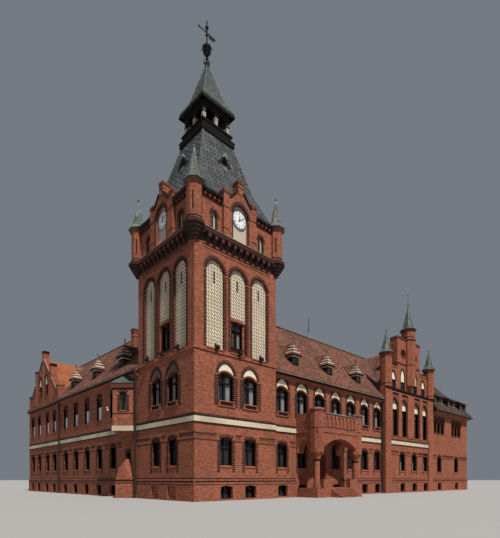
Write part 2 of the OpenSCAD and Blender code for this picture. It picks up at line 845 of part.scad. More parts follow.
// Outline of the bay that carries a clock: piers at the sides and in the middle, raked copings between
function bay_outline(z) =
  let (c = bay_pier_w / 2, e = bay_half + c, i = bay_half - c, rake_z = bay_side_z - bay_notch)
  [[-e, z], [e, z], [e, bay_side_z], [i, bay_side_z], [i, rake_z], [c, bay_top_z - bay_drop], [c, bay_top_z],
  [-c, bay_top_z], [-c, bay_top_z - bay_drop], [-i, rake_z], [-i, bay_side_z], [-e, bay_side_z]];

// Three thin courses that step out under a pier's top
module pier_cap(x, z) for (i = [0:2]) translate([x, 0, z - 20 - 45 * i])
  translate([-bay_pier_w / 2 - bay_cap, -bay_out - bay_cap, 0])
    cube([bay_pier_w + 2 * bay_cap, bay_out + bay_back + 2 * bay_cap, 20]);

module clock_gables() color(brick) for (k = [0:3]) tower_face(k) union() {
  difference() {
    upright(bay_outline(corbel_top_z), -bay_out, bay_out);
    clock_recess(-bay_out - cut, bay_out + cut);
  }
  upright(bay_outline(stage_z), 0, bay_back);
  for (s = [-1, 1]) pier_cap(s * bay_half, bay_side_z);
  pier_cap(0, bay_top_z);
}

module at_corners(d) for (a = [0:3]) rotate([0, 0, 90 * a]) translate([-d, -d, 0]) children();

module turret_shape() union() {
  octagon(turret_w, corbel_top_z - 1, turret_top_z - corbel_top_z + 1);
  octagon(turret_w + 50, turret_top_z - 90, 90);
  octagon(turret_w + 50, corbel_top_z, 60);
  for (i = [0:bowl_rings - 1])
    octagon(bowl_w * (1 - i * 0.18), corbel_top_z - (i + 1) * bowl_h / bowl_rings, bowl_h / bowl_rings);
}

module corner_turrets() color(brick) difference() {
  at_corners(tower_half) turret_shape();
  square_block(tower_half, corbel_top_z - bowl_h - cut, stage_h + bowl_h + cut);
}

// An eight-sided spire with a flared foot, a rod and a ball
module helm(w_eave, z, tip) {
  neck_z = tip - 2 * ball_r - 120;
  octagon_roof([[w_eave / 2, z], [w_eave / 2, z + 40], [w_eave * 0.3, z + 230], [helm_neck / 2, neck_z]]);
  translate([0, 0, neck_z]) cylinder(h = 120 + ball_r, r = helm_neck * 0.3);
  translate([0, 0, tip - ball_r]) sphere(r = ball_r);
}

// The room that a spire takes up in the roof beside it
module helm_foot(w_eave, z, tip)
  octagon_roof([[w_eave / 2, z], [w_eave / 2, z + 40], [w_eave * 0.3, z + 230], [helm_neck, tip]]);

module turret_spires() color(slate) at_corners(tower_half) helm(turret_eave_w, turret_top_z, turret_tip_z);

// Clocks on the two street sides
clock_back_v = -panel_t;
module clock_place(k) tower_face(k) translate([0, clock_back_v, clock_z]) rotate([90, 0, 0]) children();
hour_s = clock_t + hand_gap;
minute_s = hour_s + hand_t + hand_gap;
arbor_len = minute_s + hand_t + hand_gap;

module clock_dials() color("white") for (k = [0, 1]) clock_place(k) union() {
  cylinder(h = clock_t, r = clock_r);
  cylinder(h = arbor_len, r = arbor_r);
  translate([0, 0, clock_t]) cylinder(h = hand_gap - arbor_clear, r = arbor_r + 10);
  translate([0, 0, arbor_len - hand_gap + arbor_clear]) cylinder(h = hand_gap - arbor_clear, r = arbor_r + 8);
  translate([0, 0, hour_s + hand_t + arbor_clear])
    cylinder(h = hand_gap - 2 * arbor_clear, r = arbor_r + 8);
}

module hand(len, w, tail, angle) rotate([0, 0, -angle]) difference() {
  union() {
    cylinder(h = hand_t, r = arbor_r + 16);
    linear_extrude(hand_t) polygon([[-w / 2, 0], [-w * 0.35, -tail], [w * 0.35, -tail], [w / 2, 0],
      [w * 0.3, len * 0.8], [0, len], [-w * 0.3, len * 0.8]]);
  }
  translate([0, 0, -cut]) cylinder(h = hand_t + 2 * cut, r = arbor_r + arbor_clear);
}

module hour_hand(k) color(iron) clock_place(k) translate([0, 0, hour_s]) hand(hour_len, 34, 60, hour_angle);
module minute_hand(k) color(iron) clock_place(k)
  translate([0, 0, minute_s]) hand(minute_len, 26, 80, minute_angle);
module hour_hand_front() hour_hand(0);
module minute_hand_front() minute_hand(0);
module hour_hand_side() hour_hand(1);
module minute_hand_side() minute_hand(1);

roof_foot_half = tower_half + roof_over;
roof_profile = [[roof_foot_half, stage_z], [roof_foot_half, stage_z + 70],
  [roof_flare_half, roof_flare_z], [roof_knee_half, roof_knee_z], [roof_top_half, roof_top_z]];
roof_hollow = [[tower_inner, stage_z - cut], [roof_flare_half - 260, roof_flare_z - 60],
  [roof_knee_half - 110, roof_knee_z - 60], [roof_top_half - 110, roof_top_z - 120]];

module tower_roof() color(slate) difference() {
  square_roof(roof_profile);
  square_roof(roof_hollow);
  bay_room = bay_half + bay_pier_w / 2 + bay_cap + seat;
  for (k = [0:3]) tower_face(k) translate([-bay_room, -roof_over - cut, stage_z - cut])
    cube([2 * bay_room, roof_over + cut + bay_back + bay_cap + seat, bay_top_z - stage_z + 2 * cut]);
  at_corners(tower_half) {
    octagon(turret_w + 60 + 2 * seat, stage_z - cut, turret_top_z - stage_z + cut + seat);
    helm_foot(turret_eave_w + 2 * seat, turret_top_z, turret_tip_z);
  }
}

module tower_dormers() color(slate) for (k = [0:3]) tower_face(k) difference() {
  upright([[-vent_w / 2, vent_z], [vent_w / 2, vent_z], [0, vent_z + vent_h]], vent_v, vent_h);
  upright([[-vent_w / 2 + 70, vent_z + 30], [vent_w / 2 - 70, vent_z + 30], [0, vent_z + vent_h - 70]],
    vent_v - cut, cut + 40);
  tower_face_roof();
}

// The roof's volume seen from a tower face, so that a dormer stops at the slates
module tower_face_roof() translate([0, tower_half, 0]) square_roof(roof_profile);

module lantern_base() color(timber) difference() {
  union() {
    square_block(lantern_cornice_half, lantern_z, lantern_cornice_h);
    square_block(lantern_half, parapet_base_z, lantern_parapet_h);
    square_block(lantern_half + 35, post_z - 60, 60);
  }
  square_roof([[roof_top_half + 40, lantern_z - 1], [roof_top_half, roof_top_z]]);
}

post_mid = post_half - post_w / 2;
arch_z = plate_z - brace_rise;
module lantern_posts() color(timber) for (k = [0:3]) rotate([0, 0, 90 * k]) {
  translate([-post_half, -post_half, post_z]) cube([post_w, post_w, arch_z - post_z]);
  translate([-post_w / 2, -post_half, post_z]) cube([post_w, post_w, arch_z - post_z]);
}

// The arched braces and the plate over the posts
module lantern_arches() color(timber) difference() {
  square_block(post_half, arch_z, brace_rise);
  square_block(post_half - post_w, arch_z - cut, brace_rise + 2 * cut);
  for (k = [0:3]) rotate([0, 0, 90 * k]) for (s = [-1, 1]) translate([s * post_mid / 2, -post_half, 0])
    upright(pointed(post_mid - post_w, arch_z - cut, arch_z, plate_z - 50), -cut, post_w + 2 * cut);
}

module lantern_spire() color(slate) difference() {
  square_roof([[post_half + 60, plate_z], [spire_half, spire_z], [spire_half, spire_z + 50],
    [spire_neck_half, spire_z + spire_flare_h], [spire_tip_half, spire_tip_z]]);
  square_block(post_half - post_w, plate_z - cut, plate_h);
}

module spire_finial() color(iron) union() {
  translate([0, 0, spire_tip_z]) cylinder(h = rod_h, r = rod_r);
  translate([0, 0, spire_tip_z]) cylinder(h = 60, r = 75);
  for (a = [0, 90]) rotate([0, 0, a]) translate([-150, -12, spire_tip_z + 75]) cube([300, 24, 24]);
  for (z = [125, 300]) translate([0, 0, spire_tip_z + z]) sphere(r = 58, $fn = 24);
  translate([0, 0, spire_tip_z + crown_foot]) rotate_extrude($fn = 24)
    polygon([[0, 0], [70, 0], [150, crown_h * 0.45], [105, crown_h * 0.5], [175, crown_h], [0, crown_h * 0.7]]);
  translate([0, 0, vane_z - 60 - vane_clear - 60]) cylinder(h = 60, r = vane_sleeve_r + 8);
  translate([0, 0, vane_z + 60 + vane_clear]) cylinder(h = 40, r = vane_sleeve_r);
  translate([0, 0, rod_tip_z - 260]) sphere(r = 70, $fn = 24);
}

module weather_vane() color(iron) difference() {
  union() {
    translate([0, 0, vane_z - 60]) cylinder(h = 120, r = vane_sleeve_r);
    translate([-vane_len * 0.45, -10, vane_z - 16]) cube([vane_len, 20, 32]);
    translate([0, 8, 0]) upright([[vane_len * 0.12, vane_z - 150], [vane_len * 0.5, vane_z - 110],
      [vane_len * 0.42, vane_z - 60], [vane_len * 0.55, vane_z], [vane_len * 0.12, vane_z]], -16, 16);
    translate([0, 8, 0]) upright([[-vane_len * 0.45, vane_z - 60], [-vane_len * 0.45, vane_z + 60],
      [-vane_len * 0.56, vane_z]], -16, 16);
  }
  translate([0, 0, vane_z - 200]) cylinder(h = 400, r = rod_r + vane_clear);
}

// Wings

// A front wall with its plinth, of length len and height h
module front_wall(len, h, t) {
  profile = [[t, 0], [t, h], [0, h], [0, plinth_h], [-plinth_out, plinth_h - plinth_slope], [-plinth_out, 0]];
  rotate([90, 0, 90]) linear_extrude(len) polygon(profile);
}

cut_v = -plinth_out - cut;
cut_t = wall_t + plinth_out + 2 * cut;

module door_shape(v, t) upright(pointed(door_w, portal_floor_z, door_apex_z - door_rise, door_apex_z), v, t);

module low_panes(v, t) {
  ground_pane(v, t);
  cellar_pane(v, t);
}
module main_panes(v, t) {
  row(main_windows) upper_pane(v, t);
  row([for (i = [0:6]) if (i != portal_index) main_windows[i]]) low_panes(v, t);
}
module side_panes(v, t) {
  row(concat(side_windows, side_bay)) {
    side_pane(v, t);
    low_panes(v, t);
  }
  small_pane(v, t);
}

module main_front_wall() color(brick) on_front(main_x, main_y) difference() {
  front_wall(main_len, eaves_z, wall_t);
  main_panes(cut_v, cut_t);
  translate([portal_x - main_x, 0, 0]) difference() {
    door_shape(cut_v, cut_t);
    for (i = [1, 2]) translate([-door_w, wall_t * i / 3, 0])
      cube([2 * door_w, wall_t, portal_floor_z + (plinth_h - portal_floor_z) * i / 3]);
  }
}

module side_front_wall() color(brick) on_side(side_x, side_y) difference() {
  front_wall(side_len, eaves_z, wall_t);
  side_panes(cut_v, cut_t);
}

yard_main = [for (i = [0:6]) yard_first + i * yard_step];
yard_side = [for (i = [0:7]) yard_first + i * yard_step];
module plain_windows() {
  side_pane(cut_v, cut_t);
  low_panes(cut_v, cut_t);
}

module courtyard_walls() color(brick) union() {
  on_back(yard_x, back_y) difference() {
    front_wall(annex_x - yard_x, eaves_z, wall_t);
    row(yard_main) plain_windows();
  }
  on_yard(yard_x, back_y) difference() {
    translate([-wall_t, 0, 0]) front_wall(end_y - back_y + wall_t, eaves_z, wall_t);
    row(yard_side) plain_windows();
  }
}

end_windows = [for (d = [-1600, 0, 1600]) wing_depth / 2 + d];
module side_end_wall() color(brick) on_back(side_x + wall_t, end_y) difference() {
  union() {
    front_wall(wing_depth - 2 * wall_t, eaves_z, wall_t);
    translate([-wall_t, 0, 0]) upright(roof_inner(wing_depth, eaves_z, slope, 0), 0, wall_t);
  }
  translate([-wall_t, 0, 0]) row(end_windows) plain_windows();
}

gable_half = side_gable_w / 2;
module gable_pier(x, h) translate([x - gable_pier_w / 2, -30, eaves_z + 10]) {
  cube([gable_pier_w, gable_t + 30, h - 10]);
  translate([-20, -20, h - 90]) cube([gable_pier_w + 40, gable_t + 70, 60]);
}

module side_gable() color(brick) on_side(side_x, side_gable_y) difference() {
  union() {
    upright([[-gable_half, eaves_z], [gable_half, eaves_z], [gable_half, eaves_z + side_gable_foot],
      [0, eaves_z + side_gable_foot + gable_half * side_gable_slope],
      [-gable_half, eaves_z + side_gable_foot]], 0, gable_t);
    gable_pier(0, apex_pier_h);
    for (s = [-1, 1]) {
      gable_pier(s * shoulder_x, shoulder_pier_h);
      gable_pier(s * (gable_half - gable_pier_w / 2 - 20), foot_pier_h);
    }
  }
  gable_windows(-cut - 30, gable_t + 2 * cut + 30);
}

// The pair of pointed windows in the side gable
module gable_windows(v, t)
  row([-gable_win_x, gable_win_x])
    upright(pointed(gable_win_w, eaves_z + gable_sill_h, eaves_z + gable_apex_h - 410,
      eaves_z + gable_apex_h), v, t);

// Roofs

module main_roof() color(tile) difference() {
  main_prism(roof_outer(wing_depth, eaves_z, slope, eave_out));
  main_hollow();
  side_prism(roof_outer(wing_depth, eaves_z, slope, eave_out));
  side_body();
  pavilion_prism(roof_outer(pavilion_w, eaves_z, slope, 0));
  tower_stand();
  translate([pavilion_x - 1, front_y - eave_out - cut, eaves_z - 400])
    cube([pavilion_w + 2, gable_t + eave_out + cut, roof_rise]);
}

module side_roof() color(tile) difference() {
  side_prism(roof_outer(wing_depth, eaves_z, slope, eave_out));
  side_hollow();
  main_hollow();
  main_body();
  side_gable_prism(roof_outer(side_gable_w, eaves_z, side_gable_pitch, 0));
  tower_stand();
  translate([side_x - eave_out - cut, side_gable_near, eaves_z])
    cube([eave_out + cut + gable_t, side_gable_w, roof_rise]);
}

module side_gable_roof() color(orange_tile) difference() {
  side_gable_prism(roof_outer(side_gable_w, eaves_z, side_gable_pitch, 0));
  side_gable_prism(roof_inner(side_gable_w, eaves_z, side_gable_pitch));
  side_hollow();
}

module pavilion_roof() color(tile) difference() {
  pavilion_prism(roof_outer(pavilion_w, eaves_z, slope, 0));
  pavilion_prism(roof_inner(pavilion_w, eaves_z, slope));
  main_hollow();
  on_front(pavilion_x, front_y) {
    gable_turrets(2 * seat);
    gable_block(seat);
  }
}

module dormer() {
  base_z = eaves_z + dormer_back * slope;
  top_z = eaves_z + dormer_h;
  difference() {
    union() {
      translate([-dormer_w / 2, dormer_back, base_z]) cube([dormer_w, 900, top_z - base_z]);
      translate([0, dormer_back + dormer_w / 2, top_z]) dormer_cap();
    }
    upright([[-dormer_w * 0.3, base_z + 180], [dormer_w * 0.3, base_z + 180], [dormer_w * 0.3, top_z - 60],
      [-dormer_w * 0.3, top_z - 60]], dormer_back - cut, 80);
    along_x(-dormer_w, 0, 2 * dormer_w, below(eaves_z, slope));
  }
}

// A dormer's pyramid cap with its spike, and the ridge that runs back into the roof
module dormer_cap() {
  half = dormer_w / 2 + dormer_over;
  square_roof([[half, -0.5], [half, 35], [0, dormer_roof_h]]);
  upright([[-half, -0.5], [half, -0.5], [half, 35], [0, dormer_roof_h], [-half, 35]], 0, 900);
  translate([0, 0, dormer_roof_h - 25]) cylinder(h = 210, r = 14, $fn = 16);
  translate([0, 0, dormer_roof_h + 190]) sphere(r = 34, $fn = 16);
}

module wing_dormers() color(timber) {
  on_front(main_x, main_y) row([main_windows[1], main_windows[3], main_windows[5]]) dormer();
  on_side(side_x, side_y) row([side_windows[0], side_windows[2], side_windows[4]]) dormer();
}

// Pavilion

module pavilion_wall() color(brick) on_front(pavilion_x, front_y) difference() {
  union() {
    front_wall(pavilion_w, gable_z, wall_t);
    for (x = [0, pavilion_w - side_turret_w])
      translate([x, -60, 0]) cube([side_turret_w, 60 + cut, gable_z]);
    translate([0, -60 - string_out, gable_z - string_h]) cube([pavilion_w, string_out + 60 + cut, string_h]);
  }
  pavilion_panes(cut_v, cut_t);
}

module pavilion_panes(v, t) {
  row(lancets) lancet_pane(v, t);
  row(pavilion_windows) low_panes(v, t);
}

mid = pavilion_w / 2;
gable_edge = side_turret_w / 2;
// The deeper head of the gable's middle, let into the roof behind it
module gable_block(extra) translate([mid - gable_mid_half - extra, gable_back, gable_side_z - 320])
  cube([2 * (gable_mid_half + extra), gable_mid_t + extra, gable_top_z - gable_side_z + 320]);

module gable_lancets(v, t) {
  row([lancets[1], lancets[2]]) gable_lancet(near_apex_h, v, t);
  row([lancets[0], lancets[3]]) gable_lancet(far_apex_h, v, t);
}
module gable_lancet(apex, v, t)
  upright(pointed(gable_lancet_w, gable_z + 75, gable_z + apex - 375, gable_z + apex), v, t);

module pavilion_gable() color(brick) on_front(pavilion_x, front_y) difference() {
  union() {
    translate([gable_edge, gable_back, gable_z])
      cube([pavilion_w - 2 * gable_edge, gable_t - gable_back, gable_side_z - gable_z]);
    translate([mid - gable_mid_half, gable_back, gable_z]) cube([2 * gable_mid_half, gable_t - gable_back,
      gable_top_z - gable_z]);
    gable_block(0);
    for (z = [gable_side_z + 200, gable_top_z - 60]) translate([mid - gable_mid_half - 25, gable_back - 25, z])
      cube([2 * gable_mid_half + 50, gable_mid_t + 25, 60]);
  }
  gable_lancets(gable_back - cut, gable_t - gable_back + 2 * cut);
  for (s = [-1, 1]) translate([mid + s * oculus_x, gable_back + gable_mid_t + cut, oculus_z]) rotate([90, 0, 0])
    cylinder(h = gable_mid_t + 2 * cut, r = oculus_r, $fn = 32);
  gable_turrets(4);
}

module gable_turrets(extra = 0) {
  for (x = [gable_edge, pavilion_w - gable_edge]) translate([x, 100, 0]) union() {
    octagon(side_turret_w + extra, gable_z, side_turret_z - gable_z);
    octagon(side_turret_w + 50 + extra, side_turret_z - 70, 70);
  }
  translate([mid, mid_turret_v, 0]) union() {
    octagon(mid_turret_w + extra, gable_z + 400, mid_turret_z - gable_z - 400);
    octagon(mid_turret_w + 60 + extra, mid_turret_z - 60, 60);
    octagon(mid_turret_w - mid_step + extra, mid_turret_z - 1, mid_top_z - mid_turret_z + 1);
    octagon(mid_turret_w + 30 + extra, mid_top_z - 60, 60);
  }
}

module pavilion_turrets() color(brick) on_front(pavilion_x, front_y) gable_turrets();

module pavilion_spires() color(slate) on_front(pavilion_x, front_y) {
  for (x = [gable_edge, pavilion_w - gable_edge]) translate([x, 100, 0])
    helm(side_turret_w + 165, side_turret_z, side_tip_z);
  translate([mid, mid_turret_v, 0]) {
    helm(mid_turret_w + 110, mid_top_z, mid_tip_z);
    translate([0, 0, mid_tip_z - ball_r]) cylinder(h = 640, r = 12);
    for (z = [110, 560]) translate([0, 0, mid_tip_z + z]) sphere(r = 34, $fn = 16);
  }
}

// Annex

module annex_panes(v, t) row(annex_windows) {
  row([-annex_light_step, 0, annex_light_step])
    upright(pointed(annex_light_w, annex_sill_z, annex_apex_z - 330, annex_apex_z), v, t);
  low_panes(v, t);
}

annex_windows = [annex_first, annex_first + annex_step];
module annex_walls() color(brick) union() {
  on_front(annex_x, annex_y) difference() {
    front_wall(annex_len, annex_eaves_z, wall_t);
    annex_panes(cut_v, cut_t);
  }
  on_back(annex_x, back_y) difference() {
    front_wall(annex_len, annex_eaves_z, wall_t);
    row(annex_windows) plain_windows();
  }
  on_yard(end_x, annex_y) difference() {
    union() {
      front_wall(annex_depth, annex_eaves_z, wall_t);
      upright(roof_inner(annex_depth, annex_eaves_z, annex_slope, 0), 0, wall_t);
    }
    row([1300, 2950, 4600]) plain_windows();
  }
  on_yard(annex_x + wall_t, annex_y) {
    translate([0, 0, eaves_z]) cube([annex_depth, wall_t, annex_eaves_z - eaves_z]);
    upright(roof_inner(annex_depth, annex_eaves_z, annex_slope, 0), 0, wall_t);
  }
}

module annex_roof() color(tile) difference() {
  along_x(annex_x, annex_y, annex_len + verge_out,
    roof_outer(annex_depth, annex_eaves_z, annex_slope, annex_eave_out));
  along_x(annex_x - cut, annex_y, annex_len + cut, roof_inner(annex_depth, annex_eaves_z, annex_slope));
  translate([annex_x - cut, front_y - annex_eave_out, annex_eaves_z - 500])
    cube([cut + side_turret_w / 2, annex_eave_out + side_turret_w / 2 + 10, 2000]);
}

module annex_dormer(w) {
  top_z = annex_eaves_z + annex_dormer_h;
  deep = 1800;
  rise = deep * annex_dormer_slope;
  difference() {
    union() {
      translate([-w / 2, 0, 0]) rotate([90, 0, 90]) linear_extrude(w)
        polygon([[20, annex_eaves_z], [20, top_z + 20], [20 + deep, top_z + rise + 20],
          [20 + deep, annex_eaves_z]]);
      translate([-w / 2 - 80, 0, 0]) rotate([90, 0, 90]) linear_extrude(w + 160)
        polygon([[-120, top_z - 70], [-120, top_z - 5], [deep, top_z + rise + 60], [deep, top_z + rise - 5]]);
    }
    for (s = [-1, 1]) translate([s * w / 4, 0, 0])
      upright([[-w / 6, annex_eaves_z + 300], [w / 6, annex_eaves_z + 300], [w / 6, top_z - 110],
        [-w / 6, top_z - 110]], -cut, cut + 90);
    along_x(-w, 0, 2 * w, below(annex_eaves_z, annex_slope));
  }
}

module annex_dormers() color(timber) on_front(annex_x, annex_y)
  row([for (i = [0:2]) annex_dormer_first + i * annex_dormer_step]) annex_dormer(annex_dormer_w);

// Oriel on the side wing, triangular in plan with its edge to the street

module oriel_plan(z, h, t = 0) translate([0, 0, z]) linear_extrude(h) polygon([[-oriel_half + t, 0],
  [-oriel_half + t, -oriel_side], [0, -oriel_out + 1.4 * t], [oriel_half - t, -oriel_side], [oriel_half - t, 0]]);
module oriel_window(v, t) for (s = [-1, 1])
  translate([s * oriel_half / 2, -(oriel_out + oriel_side) / 2, 0])
    rotate([0, 0, s * atan2(oriel_out - oriel_side, oriel_half)])
      upright(flat_arch(oriel_win_w, oriel_sill_z, oriel_win_h), v, t);

module oriel() color(brick) on_side(side_x, side_y + oriel_y) {
  difference() {
    union() {
      oriel_plan(band_z, oriel_top_z - band_z);
      hull() {
        oriel_plan(band_z - 1, 1);
        translate([-20, -20, band_z - oriel_corbel_h]) cube([40, 20, 1]);
      }
    }
    oriel_plan(band_z + 150, oriel_top_z - band_z, oriel_t);
    oriel_window(-200, 400);
  }
  difference() {
    union() {
      linear_extrude(plinth_h) polygon([[-spur_out, 0], [0, -spur_out], [spur_out, 0]]);
      intersection() {
        linear_extrude(spur_top_z) polygon([[-spur_out, 0], [0, -spur_out], [spur_out, 0]]);
        along_x(-spur_out, 0, 2 * spur_out,
          [[0, 0], [0, spur_top_z], [-120, spur_top_z], [-spur_out, plinth_h - 1], [-spur_out, 0]]);
        rotate([90, 0, 0]) linear_extrude(spur_out)
          polygon([[-spur_out, 0], [spur_out, 0], [spur_out, plinth_h - 1], [0, spur_top_z + 1],
            [-spur_out, plinth_h - 1]]);
      }
    }
    translate([-oriel_y, 0, 0]) front_wall(side_len, spur_top_z + 1, wall_t);
  }
}

module oriel_roof() color(slate) difference() {
  oriel_cap();
  side_prism(roof_outer(wing_depth, eaves_z - seat, slope, eave_out));
}

// Boxed eaves and two slopes that meet over the oriel's edge
module oriel_cap() on_side(side_x, side_y + oriel_y) intersection() {
  foot = (oriel_out + oriel_over * 1.4) / 1.414;
  translate([0, 0, oriel_top_z]) rotate([0, 0, 45]) square_roof([[foot - 20, 0], [foot - 20, oriel_eave_h - 30],
    [foot, oriel_eave_h - 30], [foot, oriel_eave_h], [0, oriel_eave_h + oriel_roof_h]]);
  difference() {
    translate([-oriel_half - oriel_over, -2 * oriel_out, 0])
      cube([2 * (oriel_half + oriel_over), 2 * oriel_out, eaves_z]);
    translate([-2 * oriel_out, 0, 0]) eave_box(4 * oriel_out, eaves_z, slope, eave_out, eave_box_drop);
  }
}

// Portal

module portal_box(z, h, grow) translate([portal_x - portal_half - grow, main_y - portal_out - grow, z])
  cube([2 * (portal_half + grow), portal_out + grow, h]);

module column() {
  translate([0, 0, portal_floor_z]) cylinder(h = 130, r = column_r + 35);
  translate([0, 0, portal_floor_z]) cylinder(h = column_top_z - portal_floor_z, r = column_r);
  translate([0, 0, column_top_z - 1]) cylinder(h = 230, r1 = column_r, r2 = column_r + 70);
  translate([-column_r - 80, -column_r - 80, column_top_z + 229])
    cube([2 * column_r + 160, 2 * column_r + 160, 81]);
}
column_in = column_r + 80;
capital_z = column_top_z + 310;

module portal() color(brick) union() {
  difference() {
    portal_box(0, portal_floor_z, 0);
    translate([portal_x - portal_half - cut, main_y - plinth_out, -cut])
      cube([2 * portal_half + 2 * cut, plinth_out + cut, plinth_h]);
  }
  for (i = [1:step_count - 1])
    translate([portal_x - stair_half, main_y - portal_out - i * step_tread, 0])
      cube([2 * stair_half, step_tread + 1, portal_floor_z * (step_count - i) / step_count]);
  for (s = [-1, 1]) {
    translate([portal_x + s * (portal_half - column_in), main_y - portal_out + column_in, 0]) {
      column();
      corner_post(capital_z, band_z - capital_z - seat);
    }
    translate([portal_x + s * (stair_half + low_wall_w / 2) - low_wall_w / 2, main_y - portal_out, 0])
      cube([low_wall_w, column_in, plinth_h]);
  }
  difference() {
    portal_box(capital_z, band_z - capital_z - seat, 0);
    portal_hollow();
  }
}

low_wall_w = 480;
stair_half = portal_half - 2 * column_in - low_wall_w;
module corner_post(z, h) octagon(balcony_post_w, z, h);

// The room under the balcony: a wide low arch in front and a pointed arch at each side
module portal_hollow() {
  arch_w = 2 * portal_half - 4 * column_in;
  side_w = portal_out - 2 * column_in - 100;
  translate([portal_x - portal_half + 2 * column_in, main_y - portal_out + 2 * column_in, capital_z - cut])
    cube([arch_w, portal_out - 2 * column_in + cut, band_z - capital_z - 60]);
  translate([portal_x, main_y - portal_out, 0])
    upright(flat_arch(arch_w, capital_z - cut, 640, 420, 8), -cut, 2 * column_in + 2 * cut);
  translate([portal_x - portal_half - cut, main_y - side_w / 2 - 80, 0]) rotate([0, 0, 90]) mirror([0, 1, 0])
    upright(pointed(side_w, capital_z - cut, capital_z + 60, capital_z + 560), 0, 2 * portal_half + 2 * cut);
}

module balcony() color(brick) union() {
  difference() {
    portal_box(band_z, parapet_z - band_z, 0);
    translate([portal_x - portal_half + parapet_t, main_y - portal_out + parapet_t, band_top_z])
      cube([2 * (portal_half - parapet_t), portal_out - parapet_t + cut, parapet_z]);
    for (i = [0:blind_count - 1])
      translate([portal_x + (i + 0.5 - blind_count / 2) * blind_step, main_y - portal_out, 0])
        upright(pointed(blind_step - 90, band_top_z + 60, band_top_z + 300, parapet_z - 70, 4), -cut, cut + 40);
  }
  portal_box(band_z, 110, portal_lip);
  for (s = [-1, 1]) translate([portal_x + s * (portal_half - column_in), main_y - portal_out + column_in, 0]) {
    corner_post(band_z, parapet_z + balcony_post_rise - band_z);
    octagon(balcony_post_w + 50, parapet_z + balcony_post_rise - 60, 60);
  }
}

portal_lip = 30;
// Blind arches in the front of the parapet
blind_count = 8;
blind_step = (2 * portal_half - 2 * column_in - balcony_post_w) / blind_count;

// Trim

module band_run(len) {
  profile = [[0, band_z], [0, band_top_z], [-band_out, band_top_z - 20], [-band_out, band_z]];
  rotate([90, 0, 90]) linear_extrude(len) polygon(profile);
}

module light_band() color(plaster) {
  difference() {
    street_block(band_z, band_h, band_out, 20);
    square_block(tower_half, band_z - cut, band_h + 2 * cut);
  }
  on_front(main_x, main_y) {
    reach = portal_half + portal_lip;
    band_run(portal_x - reach - main_x);
    translate([portal_x + reach - main_x, 0, 0]) band_run(main_x + main_len - portal_x - reach);
  }
  on_front(pavilion_x + side_turret_w, front_y) band_run(pavilion_w - 2 * side_turret_w);
  on_side(side_x, side_y + oriel_y) {
    translate([-oriel_y, 0, 0]) band_run(oriel_y - oriel_half);
    translate([oriel_half, 0, 0]) band_run(side_len - oriel_y - oriel_half);
    difference() {
      oriel_plan(band_z, band_h, -band_out);
      oriel_plan(band_z - cut, band_h + 2 * cut);
      translate([-2 * oriel_half, -2, band_z - cut]) cube([4 * oriel_half, 3 * cut, band_h + 2 * cut]);
    }
  }
}

head_t = glass_v - head_v - 20;
module window_heads() color(plaster) {
  for (k = [0, 1]) tower_face(k) tower_pair()
    pointed_head();
  on_front(main_x, main_y) row(main_windows) pointed_head();
  on_side(side_x, side_gable_y) difference() {
    gable_windows(head_v, head_t);
    translate([-gable_half, 0, 0]) cube([2 * gable_half, gable_t, eaves_z + gable_apex_h - 500]);
  }
  on_front(pavilion_x, front_y) difference() {
    gable_lancets(gable_back + head_v, 40);
    cube([pavilion_w, gable_t, gable_z + 560]);
  }
}

module window_glass() color(pane) {
  tower_panes(glass_v, glass_t);
  for (k = [0, 1]) tower_face(k) niche_window(niche_depth + 60, glass_t);
  on_front(main_x, main_y) main_panes(glass_v, glass_t);
  on_side(side_x, side_y) side_panes(glass_v, glass_t);
  on_side(side_x, side_gable_y) gable_windows(glass_v, glass_t);
  on_side(side_x, side_y + oriel_y) oriel_window(60, glass_t);
  on_front(pavilion_x, front_y) {
    gable_lancets(gable_back + 80, glass_t);
    pavilion_panes(glass_v, glass_t);
  }
  on_front(annex_x, annex_y) annex_panes(glass_v, glass_t);
}

// One sheet a storey closes the windows of each unseen wall
module storey_sheets(u, len) {
  translate([u, wall_t, floor_t]) cube([len, glass_t, cellar_sill_z + cellar_win_h + 40 - floor_t]);
  translate([u, wall_t, ground_sill_z - 40]) cube([len, glass_t, ground_win_h + 80]);
  translate([u, wall_t, side_sill_z - 40]) cube([len, glass_t, side_win_h + 80]);
}

module courtyard_glass() color(pane) {
  on_back(yard_x, back_y) storey_sheets(600, annex_x - yard_x - 1200);
  on_yard(yard_x, back_y) storey_sheets(600, end_y - back_y - 1200);
  on_back(side_x, end_y) storey_sheets(900, wing_depth - 1800);
  on_back(annex_x, back_y) storey_sheets(700, annex_len - 1400);
  on_yard(end_x, annex_y) storey_sheets(900, annex_depth - 1800);
}

module eave_box(len, z, s, out, drop) {
  profile = [[0, z - seat], [0, z - drop], [-out + 30, z - drop], [-out + 30, under(z, -out + 30, s) - seat]];
  rotate([90, 0, 90]) linear_extrude(len) polygon(profile);
}

module eaves_boxes() color(timber) {
  on_front(main_x, main_y) eave_box(main_len, eaves_z, slope, eave_out, eave_box_drop);
  on_side(side_x, side_y) eave_box(side_len, eaves_z, slope, eave_out, eave_box_drop);
  on_back(yard_x + eave_out, back_y) eave_box(annex_x - yard_x - eave_out, eaves_z, slope, eave_out, eave_box_drop);
  on_yard(yard_x, back_y + eave_out) eave_box(end_y - back_y - eave_out, eaves_z, slope, eave_out, eave_box_drop);
  on_front(annex_x + side_turret_w / 2, annex_y)
    eave_box(annex_len - side_turret_w / 2, annex_eaves_z, annex_slope, annex_eave_out, annex_box_drop);
  on_back(annex_x, back_y) eave_box(annex_len, annex_eaves_z, annex_slope, annex_eave_out, annex_box_drop);
}

